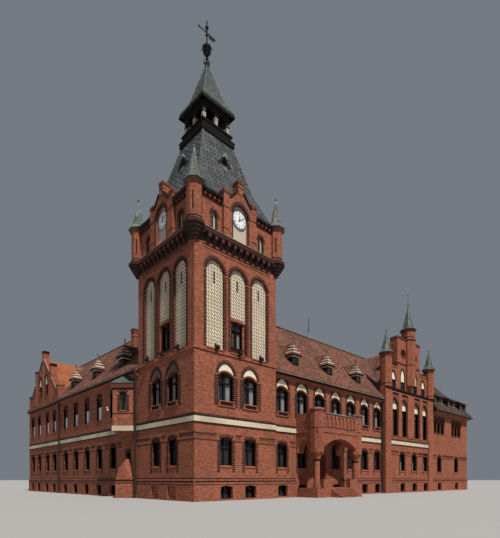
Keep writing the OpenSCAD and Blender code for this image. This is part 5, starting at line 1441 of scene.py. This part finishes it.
    def lay_lead(self) -> None:
        """Lays the lead on the corbel table and along the eaves."""
        lead = self.piece("leadwork", (LEAD, DARK_PAINT), "iron")
        sides = ((0.0, 9.3), (0.172, 9.248), (0.176, 9.236), (0.0, 9.236))
        middle = ((self.bay_out, 9.262), (0.172, 9.248), (0.176, 9.236), (self.bay_out, 9.236))
        for side in SIDES:
            lead.moulding(sides, side * self.bay_edge, side * self.clear)
            low, high = sorted((side * (self.bay_edge + 0.02), side * self.clear))
            lead.block((low, 0.138, 10.505), (high, 0.15, 10.56), 1)
        lead.moulding(middle, -self.bay_edge, self.bay_edge)
        lead.build()

    def fit_vent(self) -> None:
        """Fits the hood, the slats and the apron of the roof's vent."""
        vent = self.piece("vent_hood", (DARK_PAINT, VERDIGRIS, OLD_LEAD), "slate")
        foot, top, face = self.vent_foot, self.vent_top, self.vent_face
        rise = top - foot
        lean, slope = math.atan2(rise, self.vent_half), math.hypot(rise, self.vent_half)
        for side in SIDES:
            edge = side * self.vent_half
            vent.turned((edge / 2, face, foot + rise / 2 + 0.012), (slope + 0.03, 0.05, 0.028), side * lean)
            cap = (edge * 0.16, face + 0.01, top - rise * 0.16 + 0.02)
            vent.turned(cap, (slope * 0.36, 0.1, 0.05), side * lean, 1)
        vent.plate(((-0.2, foot + 0.035), (0.2, foot + 0.035), (0.0, top - 0.08)), face - 0.042, face - 0.03)
        for index in range(4):
            slat = (2 * (0.19 - 0.045 * index), 0.035, 0.006)
            vent.turned((0.0, face - 0.015, foot + 0.06 + index * 0.06), slat, 0.6, 0, Axis.ALONG)
        vent.turned((0.0, face + 0.045, foot - 0.14), (0.2, 0.01, 0.22), self.roof_lean, 2, Axis.ALONG)
        vent.build()

    def build(self) -> None:
        """Makes the side's pieces."""
        self.lay_niches()
        self.lay_stage()
        self.lay_lead()
        self.fit_vent()


NUMERALS = ("XII", "I", "II", "III", "IIII", "V", "VI", "VII", "VIII", "IX", "X", "XI")
STROKES: dict[str, tuple[float, tuple[Point2, ...]]] = {
    "I": (0.014, ((0.0, 0.0),)),
    "V": (0.028, ((-0.006, -0.22), (0.006, 0.22))),
    "X": (0.028, ((0.0, -0.35), (0.0, 0.35))),
}


@dataclass
class Clock:
    """The rings, minute marks and numerals of one dial.

    Args:
        name, wall: The side's name and its face, with u to the right.
        centre, face: The u and z of the dial's middle, and the w of its face.
        rings: The inner and outer radius of each ring, and how far it stands out.
        minutes, hours: The radius of the minute marks and that of the numerals.
    """

    name: str
    wall: Wall
    centre: Point2 = (0.0, 10.13)
    face: float = 0.052
    rings: tuple[Point3, ...] = ((0.308, 0.33, 0.006), (0.272, 0.276, 0.002), (0.192, 0.196, 0.002))
    minutes: float = 0.288
    hours: float = 0.234

    def mark(self, piece: Piece, angle: float, place: Point2, size: Point2, lean: float = 0.0) -> None:
        """Adds one painted stroke.

        Args:
            piece: The piece it joins.
            angle: Where it stands, in radians clockwise from the top.
            place: How far out it stands, and how far to the side.
            size: Its width and its height.
            lean: How far it leans.
        """
        radius, across = place
        u = self.centre[0] + radius * math.sin(angle) + across * math.cos(angle)
        z = self.centre[1] + radius * math.cos(angle) - across * math.sin(angle)
        piece.turned((u, self.face + 0.0005, z), (size[0], 0.003, size[1]), angle + lean)

    def build(self) -> None:
        """Makes the dial's rings and marks."""
        marks = Piece(f"clock_{self.name}_marks", (IRON,), "iron", self.wall)
        for inner, outer, out in self.rings:
            marks.ring(self.centre, (inner, outer), (self.face - 0.004, self.face + out), 48)
        for minute in range(60):
            width = 0.005 if minute % 5 else 0.012
            self.mark(marks, minute * FULL_TURN / 60, (self.minutes, 0.0), (width, 0.026))
        for hour, letters in enumerate(NUMERALS):
            across = -sum(STROKES[letter][0] for letter in letters) / 2
            for letter in letters:
                width, strokes = STROKES[letter]
                for offset, lean in strokes:
                    place = (self.hours, across + width / 2 + offset)
                    self.mark(marks, hour * FULL_TURN / 12, place, (0.006, 0.058), lean)
                across += width
        marks.build()


@dataclass(frozen=True)
class Helm:
    """An eight-sided spire of slates."""

    middle: Point2
    eave: float
    foot: float
    tip: float

    def lay_hips(self, piece: Piece) -> None:
        """Lays the rolls on the hips and the ring along the eaves.

        Args:
            piece: The piece they join.
        """
        eave, foot, tip = self.eave, self.foot, self.tip
        bend = ((eave / 2, foot + 0.04), (eave * 0.3, foot + 0.23), (0.022, tip - 0.21))
        for index in range(8):
            angle = (index + 0.5) * FULL_TURN / 8
            corners = []
            for half, z in bend:
                x, y = around(self.middle, half / math.cos(FULL_TURN / 16), angle)
                corners.append((x, y, z))
            piece.roll(corners, 0.01, sides=6)
        piece.drum(self.middle, eave + 0.012, foot + 0.004, foot + 0.03, 1)
        piece.drum(self.middle, 0.075, tip - 0.25, tip - 0.09, 2, across_top=0.035)


@dataclass
class TowerCrown:
    """The corner turrets, the roof's hips and the lantern.

    Args:
        turret, rings: The width of a corner turret, and the z of the dark rings round it.
        roof: Half the roof's width and its z, from the eaves up.
        spire: The same for the lantern's spire.
        boards: The lantern's boards: half the length, the depths and the levels of each.
        openings: The u of the lantern's openings.
    """

    turret: float = 0.49
    rings: tuple[float, ...] = (9.26, 9.36, 10.47)
    roof: tuple[Point2, ...] = ((1.76, 10.83), (1.28, 11.9), (0.7, 13.88))
    spire: tuple[Point2, ...] = ((0.775, 15.0), (0.5, 15.6), (0.05, 17.076))
    boards: tuple[Band, ...] = (
        (0.79, (0.77, 0.79), (13.97, 14.012)),
        (0.76, (0.7, 0.785), (13.83, 13.86)),
        (0.725, (0.7, 0.73), (14.245, 14.276)),
        (0.79, (0.77, 0.79), (14.985, 15.075)),
        (0.77, (0.6, 0.77), (14.985, 14.998)),
        (0.6, (0.0, 0.6), (14.972, 14.985)),
    )
    openings: tuple[float, ...] = (-0.56, 0.0, 0.56)

    def dress_turrets(self) -> None:
        """Lays the dark slots and rings of the corner turrets, and the hips of their spires."""
        bricks = Piece("corner_turret_brickwork", (DARK_BRICK_AND_SHADE,), "brick")
        hips = Piece("corner_spire_hips", (HELM_SLATES, DARK_PAINT, VERDIGRIS), "slate")
        for side_x, side_y in CORNERS:
            middle = (side_x * TOWER_HALF, side_y * TOWER_HALF)
            for index in range(1, 8, 2):
                angle = index * FULL_TURN / 8
                x, y = around(middle, self.turret / 2, angle)
                if max(abs(x), abs(y)) > TOWER_HALF + 0.01:
                    bricks.turned((x, y, 9.86), (0.012, 0.05, 0.6), angle, 0, Axis.UP)
            for level in self.rings:
                bricks.drum(middle, self.turret + 0.022, level, level + 0.028)
            Helm(middle, 0.69, 10.54, 11.83).lay_hips(hips)
        bricks.build()
        hips.build()

    def dress_roof(self) -> None:
        """Lays the lead rolls on the hips of the roof and of the lantern's spire."""
        rolls = Piece("tower_roof_hip_rolls", (SLATES, HELM_SLATES), "slate")
        for side_x, side_y in CORNERS:
            for levels, radius, finish in ((self.roof, 0.022, 0), (self.spire, 0.016, 1)):
                rolls.roll([(side_x * half, side_y * half, z) for half, z in levels], radius, finish)
        rolls.build()

    def dress_lantern(self) -> None:
        """Fits the boards, mouldings and rails of the lantern."""
        work = Piece("lantern_joinery", (DARK_PAINT, GREY_TIMBER), "timber")
        for wall in TOWER_FACES.values():
            work.on(wall.outset(-TOWER_HALF))
            work.bands(0.0, self.boards)
            for u in evenly(12, 1.24 / 11):
                work.slab(u, 0.012, (0.675, 0.692), (14.04, 14.2))
            for u in evenly(14, 1.4 / 13):
                work.slab(u, 0.025, (0.7, 0.79), (13.87, 13.93))
            for place in self.openings:
                for level in (14.6, 14.27):
                    work.slab(place, 0.075, (0.485, 0.635), (level, level + 0.04), 1)
        work.build()

    def build(self) -> None:
        """Makes the pieces of the tower's crown."""
        self.dress_turrets()
        self.dress_roof()
        self.dress_lantern()


@dataclass(frozen=True)
class Gutter:
    """A half-round gutter on its brackets."""

    name: str
    wall: Wall
    start: float
    end: float
    out: float = 0.145
    level: float = 5.03
    radius: float = 0.06
    pitch: float = 0.9

    def trough(self, outer: float, inner: float, steps: int) -> list[Point2]:
        """Gives the profile of a half ring."""
        centre = (self.out + self.radius, self.level)
        return (arc(centre, outer, FULL_TURN / 2, FULL_TURN, steps)
                + arc(centre, inner, FULL_TURN, FULL_TURN / 2, steps))

    def hang(self) -> None:
        """Makes the gutter, its brackets and the eaves board behind it."""
        work = Piece(self.name, (IRON, LEAD, BRICK), "iron", self.wall)
        start, end, shelf, lip = self.start, self.end, self.level - 0.055, self.out - 0.01
        eaves = ((0.0, shelf - 0.14), (0.035, shelf - 0.14), (0.05, shelf - 0.07), (lip, shelf - 0.03),
                 (lip, shelf), (0.0, shelf))
        work.moulding(eaves, start, end, 2)
        work.moulding(self.trough(self.radius, self.radius - 0.008, 8), start, end)
        bead = (self.out + 2 * self.radius - 0.002, self.level + 0.002)
        work.rod((start, *bead), (end, *bead), 0.008, 1, 6)
        count = max(2, round((end - start) / self.pitch))
        for index in range(count + 1):
            u = start + 0.05 + (end - start - 0.1) * index / count
            work.moulding(self.trough(self.radius + 0.007, self.radius, 6), u - 0.012, u + 0.012)
        work.build()


@dataclass(frozen=True)
class Ridge:
    """A ridge laid with round tiles."""

    name: str
    wall: Wall
    level: float = 8.41
    finish: Finish = CLAY_TILES
    radius: float = 0.055
    pitch: float = 0.19

    def lay(self) -> None:
        """Makes the tiles with their collars."""
        tiles = Piece(self.name, (self.finish,), "roof_tile", self.wall)
        middle = (0.0, self.level - 0.02)
        count = round(self.wall.length / self.pitch)
        step = self.wall.length / count
        for index in range(count):
            start, end = index * step, (index + 1) * step
            tiles.rod((start, *middle), (end - 0.02, *middle), self.radius, 0, 10)
            tiles.rod((end - 0.025, *middle), (end, *middle), self.radius + 0.012, 0, 10)
        tiles.build()


@dataclass
class Dormers:
    """The louvres and the striped caps of one wing's dormers.

    Args:
        name, wall: The piece's name and the wall under them.
        places, back: The u and the w of each one's middle.
        across, foot, rise: The width of a cap at its foot, the z of that foot and the cap's height.
        stripes: Where its stripes end, in parts of its height.
        louvre: The w of the louvres' back.
    """

    name: str
    wall: Wall
    places: tuple[float, ...]
    back: float = -0.54
    across: float = 0.57
    foot: float = 6.147
    rise: float = 0.585
    stripes: tuple[float, ...] = (0.0, 0.2, 0.27, 0.45, 0.52, 0.7, 0.76, 0.97)
    louvre: float = -0.352

    def lay_cap(self, piece: Piece, place: float) -> None:
        """Lays the stripes, the hips and the spike of one cap.

        Args:
            piece: The piece they join.
            place: The u of its middle.
        """
        middle = (place, self.back)
        for index, (low, high) in enumerate(zip(self.stripes, self.stripes[1:])):
            widths = [self.across * (1 - share) + 0.014 for share in (low, high)]
            piece.drum(middle, widths[0], self.foot + self.rise * low, self.foot + self.rise * high,
                       index % 2, 4, widths[1])
        piece.drum(middle, 0.6, 6.105, 6.135, 2, 4)
        for side_u, side_w in CORNERS:
            corner = (place + side_u * 0.292, self.back + side_w * 0.292, self.foot)
            piece.rod(corner, (*middle, self.foot + self.rise + 0.003), 0.011, 4, 6)
        piece.rod((*middle, 6.7), (*middle, 7.02), 0.017, 4)
        piece.ball((*middle, 6.84), 0.032, 4)
        piece.drum(middle, 0.09, 6.66, 6.76, 4, across_top=0.03)
        piece.drum(middle, 0.44, 6.06, 6.105, 1, 4)

    def fit_louvres(self, piece: Piece, place: float) -> None:
        """Fits the framed louvres on the front of one dormer.

        Args:
            piece: The piece they join.
            place: The u of its middle.
        """
        piece.plate(rectangle(place, 0.14, 5.76, 6.03), self.louvre, self.louvre + 0.007, 4)
        piece.rim(rectangle(place, 0.16, 5.74, 6.05), 0.022, self.louvre, self.louvre + 0.02, 1)
        for index in range(5):
            middle = (place, self.louvre + 0.016, 5.79 + index * 0.052)
            piece.turned(middle, (0.27, 0.03, 0.008), 0.6, 3, Axis.ALONG)

    def build(self) -> None:
        """Makes the dormers' pieces."""
        finishes = (CAP_TILES, CREAM_PAINT, DARK_PAINT, TIMBER, HELM_SLATES)
        caps = Piece(self.name, finishes, "orange_tile", self.wall)
        for place in self.places:
            self.lay_cap(caps, place)
            self.fit_louvres(caps, place)
        caps.build()


@dataclass
class Roofs:
    """The ridges, the gutters and the dormers of the wings."""

    ridges: tuple[Ridge, ...] = (
        Ridge("main_ridge_tiles", Wall((1.93, 1.175), (1.0, 0.0), (0.0, -1.0), 14.09)),
        Ridge("side_ridge_tiles", Wall((0.975, 1.93), (0.0, 1.0), (-1.0, 0.0), 14.69)),
        Ridge("annex_ridge_tiles", Wall((16.03, 1.125), (1.0, 0.0), (0.0, -1.0), 6.03), 8.413, ANNEX_TILES),
    )
    gutters: tuple[Gutter, ...] = (
        Gutter("main_gutter", MAIN_WALL, 0.02, 8.33),
        Gutter("side_gutter_near", SIDE_WALL, 0.02, 9.14),
        Gutter("courtyard_gutter", BACK_WALL, 0.2, 12.1),
        Gutter("courtyard_side_gutter", YARD_WALL, 0.2, 12.5),
        Gutter("annex_gutter", ANNEX_WALL, 0.36, 6.02, 0.33, 5.16),
        Gutter("annex_back_gutter", ANNEX_BACK_WALL, 0.0, 6.02, 0.33, 5.16),
    )

    def build(self) -> None:
        """Makes the pieces of the roofs."""
        for ridge in self.ridges:
            ridge.lay()
        for gutter in self.gutters:
            gutter.hang()
        Dormers("main_dormer_caps", MAIN_WALL, MAIN_PLACES[1::2]).build()
        Dormers("side_dormer_caps", SIDE_WALL, SIDE_PLACES[0:5:2]).build()


@dataclass
class Pavilion:
    """The gable, the turrets and the tall windows of the pavilion.

    Args:
        wall: Its face.
        turret_rings: How far the turrets stand from the middle, their width, how far back they
            stand, and the z of their dark rings.
        between: Half the width between the turrets.
        helms: The spires of the turrets.
        strips: The middle, from the pavilion's own, and half the width of each flat strip.
        strip_foot, strip_top: The z of the strips' foot and of the row of dentils over them.
        strip_out: How far they stand out.
        eye: The round windows' distance from the middle, and their z.
        eye_rings: The inner and outer radius, the front and the finish of the rings round them.
    """

    wall: Wall = PAVILION_WALL
    turret_rings: tuple[tuple[float, float, float, tuple[float, ...]], ...] = (
        (-2.5875, 0.575, -0.1, (5.9, 7.36, 7.46)),
        (2.5875, 0.575, -0.1, (5.9, 7.36, 7.46)),
        (0.0, 0.76, -0.15, (7.32, 8.74)),
        (0.0, 0.71, -0.15, (8.95, 9.3)),
    )
    between: float = 2.3
    helms: tuple[Helm, ...] = (
        Helm((10.5625, -1.825), 0.74, 7.54, 8.85),
        Helm((15.7375, -1.825), 0.74, 7.54, 8.85),
        Helm((13.15, -1.775), 0.87, 9.4, 10.95),
    )
    strips: tuple[Point2, ...] = ((-1.275, 0.175), (0.0, 0.39), (1.275, 0.175), (-2.22, 0.08), (2.22, 0.08))
    strip_foot: float = 3.1
    strip_top: float = 5.53
    strip_out: float = 0.05
    eye: Point2 = (0.7, 7.93)
    eye_rings: tuple[tuple[float, float, float, int], ...] = (
        (0.188, 0.225, 0.012, 0), (0.225, 0.262, 0.008, 1), (0.262, 0.285, 0.012, 0),
    )

    def lay_courses(self) -> None:
        """Lays the dark lines of the gable and its turrets, and the rings round the round windows."""
        work = Piece("pavilion_dark_courses", (DARK_BRICK_AND_SHADE, RED_BRICK), "brick", self.wall)
        work.slab(PAVILION_MIDDLE, self.wall.length / 2, (0.0, 0.112), (5.675, 5.755))
        work.slab(PAVILION_MIDDLE, self.between, (0.0, 0.03), (5.62, 5.655))
        for offset, across, back, levels in self.turret_rings:
            for level in levels:
                work.drum((PAVILION_MIDDLE + offset, back), across + 0.02, level, level + 0.03)
        work.on(self.wall.outset(-0.1))
        inner = ((0.525, (0.0, 0.03), (7.3, 7.34)), (0.525, (0.0, 0.03), (8.72, 8.755)),
                 (0.535, (-0.37, 0.03), (8.8, 8.83)))
        outer = ((0.475, (-0.21, 0.03), (7.12, 7.15)), (0.475, (0.0, 0.016), (6.98, 7.0)))
        for side in SIDES:
            work.bands(PAVILION_MIDDLE + side * 0.825, inner)
            work.bands(PAVILION_MIDDLE + side * 1.835, outer)
            centre = (PAVILION_MIDDLE + side * self.eye[0], self.eye[1])
            for near, far, front, finish in self.eye_rings:
                work.ring(centre, (near, far), (-0.03, front), 24, finish)
        work.build()

    def lay_pilasters(self) -> None:
        """Lays the flat strips between the tall windows, and the dentils that join them."""
        work = Piece("pavilion_pilasters", (BRICK, DARK_BRICK_AND_SHADE), "brick", self.wall)
        top, out = self.strip_top, self.strip_out
        for offset, half in self.strips:
            work.slab(PAVILION_MIDDLE + offset, half, (0.0, out), (self.strip_foot, top))
        work.slab(PAVILION_MIDDLE, self.between, (0.0, out), (top, top + 0.09))
        for place in LANCET_PLACES:
            work.slab(place, 0.33, (0.0, out + 0.006), (top - 0.035, top), 1)
            for offset in evenly(7, 0.09):
                work.slab(place + offset, 0.022, (0.0, out - 0.005), (top - 0.09, top - 0.035), 1)
        work.build()

    def fill_heads(self) -> None:
        """Fills the heads of the tall windows with plaster; under the arch it is dark, for the arch's dark
        band and painted shade.
        """
        heads = Piece("pavilion_lancet_heads", (PLASTER, DARK_SHADED_PLASTER), "plaster", self.wall)
        arch = LANCET.arch(-0.012)
        pale = [(-0.285, 4.65), (0.285, 4.65)] + [point for point in arch if point[1] < 4.98]
        shaded_top = [point for point in arch if point[1] > 4.92]
        for place in LANCET_PLACES:
            heads.plate(shifted(pale, place), -0.12, -0.075)
            # The dark top is the arch's dark band with painted shade under the arch.
            heads.plate(shifted(shaded_top, place), -0.12, -0.07, 1)
        heads.build()

    def build(self) -> None:
        """Makes the pavilion's pieces."""
        self.lay_courses()
        self.lay_pilasters()
        self.fill_heads()
        hips = Piece("pavilion_spire_hips", (OLD_COPPER, DARK_PAINT, OLD_COPPER), "slate")
        for helm in self.helms:
            helm.lay_hips(hips)
        hips.build()
        rows = tuple(
            Row(light, (PAVILION_MIDDLE - offset, PAVILION_MIDDLE + offset), 5.86, 0.07)
            for light, offset in ((NEAR_LANCET, 0.75), (FAR_LANCET, 1.8))
        )
        Facade("pavilion_gable", self.wall.outset(-0.1), rows, courses=False).build()


@dataclass
class Portal:
    """The rings and caps of the porch's columns, its mouldings and the edges of its steps.

    Args:
        wall: The porch's front, with u from its middle.
        column: The u and w of a column's middle; the other one mirrors it.
        rings: The z, the width, the height, the finish and the sides of the rings round a column.
        lines: The lines along its front: half the length, the depths and the levels of each.
        steps: The number of steps.
        tread: Their depth.
        climb: The height of the whole flight.
    """

    wall: Wall = Wall((PORTAL_MIDDLE, -2.875), (1.0, 0.0), (0.0, -1.0))
    column: Point2 = (1.38, -0.205)
    rings: tuple[tuple[float, float, float, int, int], ...] = (
        (0.4, 0.3, 0.03, 1, 16), (0.44, 0.275, 0.03, 1, 16), (1.5, 0.275, 0.03, 1, 16),
        (1.545, 0.3, 0.03, 1, 16), (3.5, 0.562, 0.025, 1, 8), (2.84, 0.562, 0.025, 1, 8),
        (3.636, 0.57, 0.019, 0, 8),
    )
    lines: tuple[Band, ...] = ((1.1, (0.0, 0.01), (3.44, 3.46)), (1.1, (0.0, 0.012), (2.9, 2.925)))
    steps: int = 4
    tread: float = 0.15
    climb: float = 0.385

    def build(self) -> None:
        """Makes the pieces of the portal."""
        work = Piece("portal_mouldings", (LEAD, DARK_BRICK_AND_SHADE, SHADED_DARK_BRICK), "brick", self.wall)
        for side in SIDES:
            place = (side * self.column[0], self.column[1])
            for level, across, tall, finish, sides in self.rings:
                work.drum(place, across, level, level + tall, finish, sides)
            work.drum(place, 0.5, 3.655, 3.7, 2, across_top=0.28)
        work.slab(0.0, 1.1, (-0.115, 0.012), (3.491, 3.515))
        work.bands(0.0, self.lines, 1)
        for step in range(self.steps):
            level = self.climb * (1 - (step + 1) / (self.steps + 1))
            edge = self.tread * (step + 1)
            work.slab(0.0, 0.6, (edge - 0.02, edge), (level - 0.012, level + 0.004), 2)
        work.build()


@dataclass
class Finials:
    """The leadwork of the valleys and the ironwork of the ridge and of the tower's tip.

    Args:
        post: The ridge finial's place in the plan.
        leaves: The inner and outer radius of each ring of leaves, and their z.
    """

    post: Point2 = (7.66, 1.175)
    leaves: tuple[tuple[float, float, float, float], ...] = (
        (0.1, 0.235, 17.66, 17.84), (0.11, 0.25, 17.8, 17.7), (0.03, 0.17, 17.12, 17.3),
    )

    def lay_valleys(self) -> None:
        """Lays the lead where two roofs meet."""
        lead = Piece("valley_leadwork", (OLD_LEAD,), "iron")
        for side in SIDES:
            lead.rod((13.15 + side * 2.82, -1.67, 5.38), (13.15 + side * 0.05, 1.12, 8.37), 0.04, 0, 6)
            lead.rod((-1.58, 13.8 + side * 2.36, 5.69), (0.5, 13.8, 7.92), 0.035, 0, 6)
        lead.build()

    def build(self) -> None:
        """Makes the valleys' lead, the thin finial of the main ridge and the leaves at the tip."""
        self.lay_valleys()
        iron = Piece("ridge_finial", (IRON, VERDIGRIS), "iron")
        iron.rod((*self.post, 8.4), (*self.post, 8.68), 0.07, 1, 8, 0.02)
        iron.rod((*self.post, 8.6), (*self.post, 9.55), 0.012)
        iron.ball((*self.post, 8.86), 0.04)
        iron.build()
        leaves = Piece("finial_leaves", (IRON,), "iron")
        for index in range(8):
            angle = index * FULL_TURN / 8
            for foot, tip, low, high in self.leaves:
                start, end = around((0.0, 0.0), foot, angle), around((0.0, 0.0), tip, angle)
                leaves.rod((*start, low), (*end, high), 0.022, 0, 6, 0.004)
        leaves.build()


@dataclass
class SideWing:
    """The lamps, the stepped gable and the chimney of the side wing.

    Args:
        lamps: The u and z of the lamps.
        slopes: The u of both ends of each sloped coping.
        copings: How far each course of a coping is drawn in, its w, its z over the middle of the
            gable, its depth, its height and its finish.
        piers: The u and z of the caps of the gable's piers.
        flue: The chimney's middle in the plan.
        flue_half: Half its width.
    """

    lamps: tuple[Point2, ...] = ((2.6, 3.8), (2.68, 3.9))
    slopes: tuple[Point2, ...] = ((0.2, 1.12), (1.55, 2.38))
    copings: tuple[tuple[float, float, float, float, float, int], ...] = (
        (0.0, -0.145, 8.122, 0.32, 0.018, 2),
        (0.0, 0.02, 8.118, 0.03, 0.036, 0),
        (0.022, 0.0, 8.068, 0.03, 0.03, 1),
        (0.055, 0.0, 8.0, 0.012, 0.022, 1),
    )
    piers: tuple[Point2, ...] = ((0.0, 8.45), (-1.335, 7.45), (1.335, 7.45), (-2.53, 6.05), (2.53, 6.05))
    flue: Point2 = (0.3, 6.575)
    flue_half: float = 0.15

    def fit_lamps(self) -> None:
        """Fits the pair of white lamps on the wall."""
        work = Piece("side_wall_lamps", (IRON, OPAL), "iron", SIDE_WALL)
        for place, level in self.lamps:
            work.rod((place, 0.0, level), (place, 0.07, level), 0.012)
            work.ball((place, 0.1, level), 0.042, 1)
        work.build()

    def lay_copings(self) -> None:
        """Lays the copings of the gable and the caps of its piers."""
        work = Piece("side_gable_copings", (LEAD, DARK_BRICK_AND_SHADE, RED_BRICK), "brick", SIDE_GABLE_WALL)
        for side in SIDES:
            for near, far in self.slopes:
                middle, long = (near + far) / 2, (far - near) * math.sqrt(2)
                for inset, w, level, deep, tall, finish in self.copings:
                    place = (side * (middle - inset), w, level - middle)
                    work.turned(place, (long, deep, tall), side * FULL_TURN / 8, finish)
        for place, top in self.piers:
            for index in range(2):
                level = top - 0.05 - 0.06 * index
                work.slab(place, 0.19, (-0.29, 0.045), (level, level + 0.024), 1)
        work.build()

    def lay_flue(self) -> None:
        """Lays the dark courses and the small openings of the chimney."""
        work = Piece("chimney_courses", (DARK_BRICK_AND_SHADE,), "brick")
        for level, across in ((8.02, 0.3), (8.2, 0.3), (8.405, 0.368)):
            work.drum(self.flue, across, level, level + 0.022, 0, 4)
        (x, y), half = self.flue, self.flue_half
        for side in SIDES:
            offset = side * 0.075
            work.slab(x + offset, 0.04, (y - half, y - half + 0.015), (8.26, 8.33))
            work.block((x - half, y + offset - 0.04, 8.26), (x - half + 0.015, y + offset + 0.04, 8.33))
        work.build()

    def build(self) -> None:
        """Makes the side wing's pieces."""
        self.fit_lamps()
        self.lay_copings()
        self.lay_flue()


@dataclass
class ShadedSideHeads:
    """A dark coat of painted shade on the plaster heads of the tower's side."""

    places: tuple[float, ...] = (-0.575, 0.575)

    def build(self) -> None:
        """Makes the coat."""
        coat = Piece("tower_side_shaded_heads", (DARK_SHADED_PLASTER,), "plaster", TOWER_SIDE)
        edge = list(reversed(UPPER.light().arch(0.004)))[1:-1]
        for place in self.places:
            # Thin dark plates over each head: painted shade.
            coat.plate(shifted(UPPER.arch(-0.006) + edge, place), -0.024, -0.019)
        coat.build()


@dataclass
class Oriel:
    """The dark eaves and the fascia of the oriel, and the courses of the spur under it.

    Args:
        eaves: How far the oriel's lines stand out, and the z of each one's foot and top.
        plinth: The same for the spur's lines.
    """

    eaves: tuple[Point3, ...] = ((0.022, 4.345, 4.4), (0.012, 3.37, 3.4))
    plinth: tuple[Point3, ...] = (
        (0.022, PLINTH_TOP - 0.06, PLINTH_TOP - 0.01), (0.012, PLINTH_TOP - 0.16, PLINTH_TOP - 0.14),
    )

    def build(self) -> None:
        """Lays the lines on both walls of the oriel and of the spur."""
        work = Piece("oriel_courses", (DARK_BRICK_AND_SHADE,), "brick")
        walls = {
            ORIEL_NEAR_WALL: self.eaves, ORIEL_FAR_WALL: self.eaves,
            SPUR_NEAR_WALL: self.plinth, SPUR_FAR_WALL: self.plinth,
        }
        for wall, lines in walls.items():
            work.on(wall)
            for out, foot, top in lines:
                work.block((0.0, 0.0, foot), (wall.length, out, top))
        work.build()


@dataclass
class AnnexTracery:
    """The dark boards between the annex's narrow lights, and the frames of its dormers.

    Args:
        dormers: The u of the dormers' middles.
        mullion: How far the boards stand from the middle of their three lights.
        casement: How far a casement's middle stands from the dormer's.
    """

    dormers: tuple[float, ...] = (1.15, 3.23, 5.31)
    mullion: float = 0.285
    casement: float = 0.25

    def build(self) -> None:
        """Makes the boards and the frames."""
        boards = Piece("annex_tracery", (DARK_PAINT, WEATHERED_PAINT), "timber", ANNEX_WALL)
        for place in ANNEX_PLACES:
            for side in SIDES:
                boards.slab(place + side * self.mullion, 0.045, (0.0, 0.012), (3.72, 4.52))
            boards.slab(place, 0.84, (0.0, 0.03), (3.675, 3.715))
        for place in self.dormers:
            for side in SIDES:
                u = place + side * self.casement
                boards.rim(rectangle(u, 0.175, 5.74, 6.07), 0.026, -0.022, 0.0, 1)
                boards.slab(u, 0.012, (-0.016, -0.004), (5.76, 6.05), 1)
                boards.slab(place + side * 0.49, 0.02, (-0.02, 0.004), (5.66, 6.1), 1)
            boards.slab(place, 0.5, (-0.02, 0.0), (5.69, 5.715), 1)
        boards.build()


def dress_nodes(nodes: dict[str, bpy.types.Object], record: dict) -> None:
    """Gives each CAD node its finish.

    Args:
        nodes: The CAD nodes by name.
        record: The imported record.
    """
    slots = {entry["node"]: entry["material_slot"] for entry in record["subparts"]}
    for name, item in nodes.items():
        finish = NODE_FINISHES.get(name) or SLOT_FINISHES[slots[name]]
        item.data.materials.clear()
        item.data.materials.append(finish.material())
        log.info("dressed %s as %s", name, finish.name)


def main() -> None:
    """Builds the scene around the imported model."""
    logging.basicConfig(level=logging.INFO, format="%(message)s")
    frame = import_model()
    Studio().build()
    dress_nodes(frame["nodes"], frame["record"])
    for facade in facades():
        facade.build()
    for name, wall in TOWER_FACES.items():
        TowerHead(name, wall).build()
    for name, wall in CLOCK_FACES.items():
        Clock(name, wall).build()
    for assembly in (TowerCrown, Roofs, Pavilion, Portal, Finials, SideWing, ShadedSideHeads, Oriel, AnnexTracery):
        assembly().build()


if __name__ == "__main__":
    main()
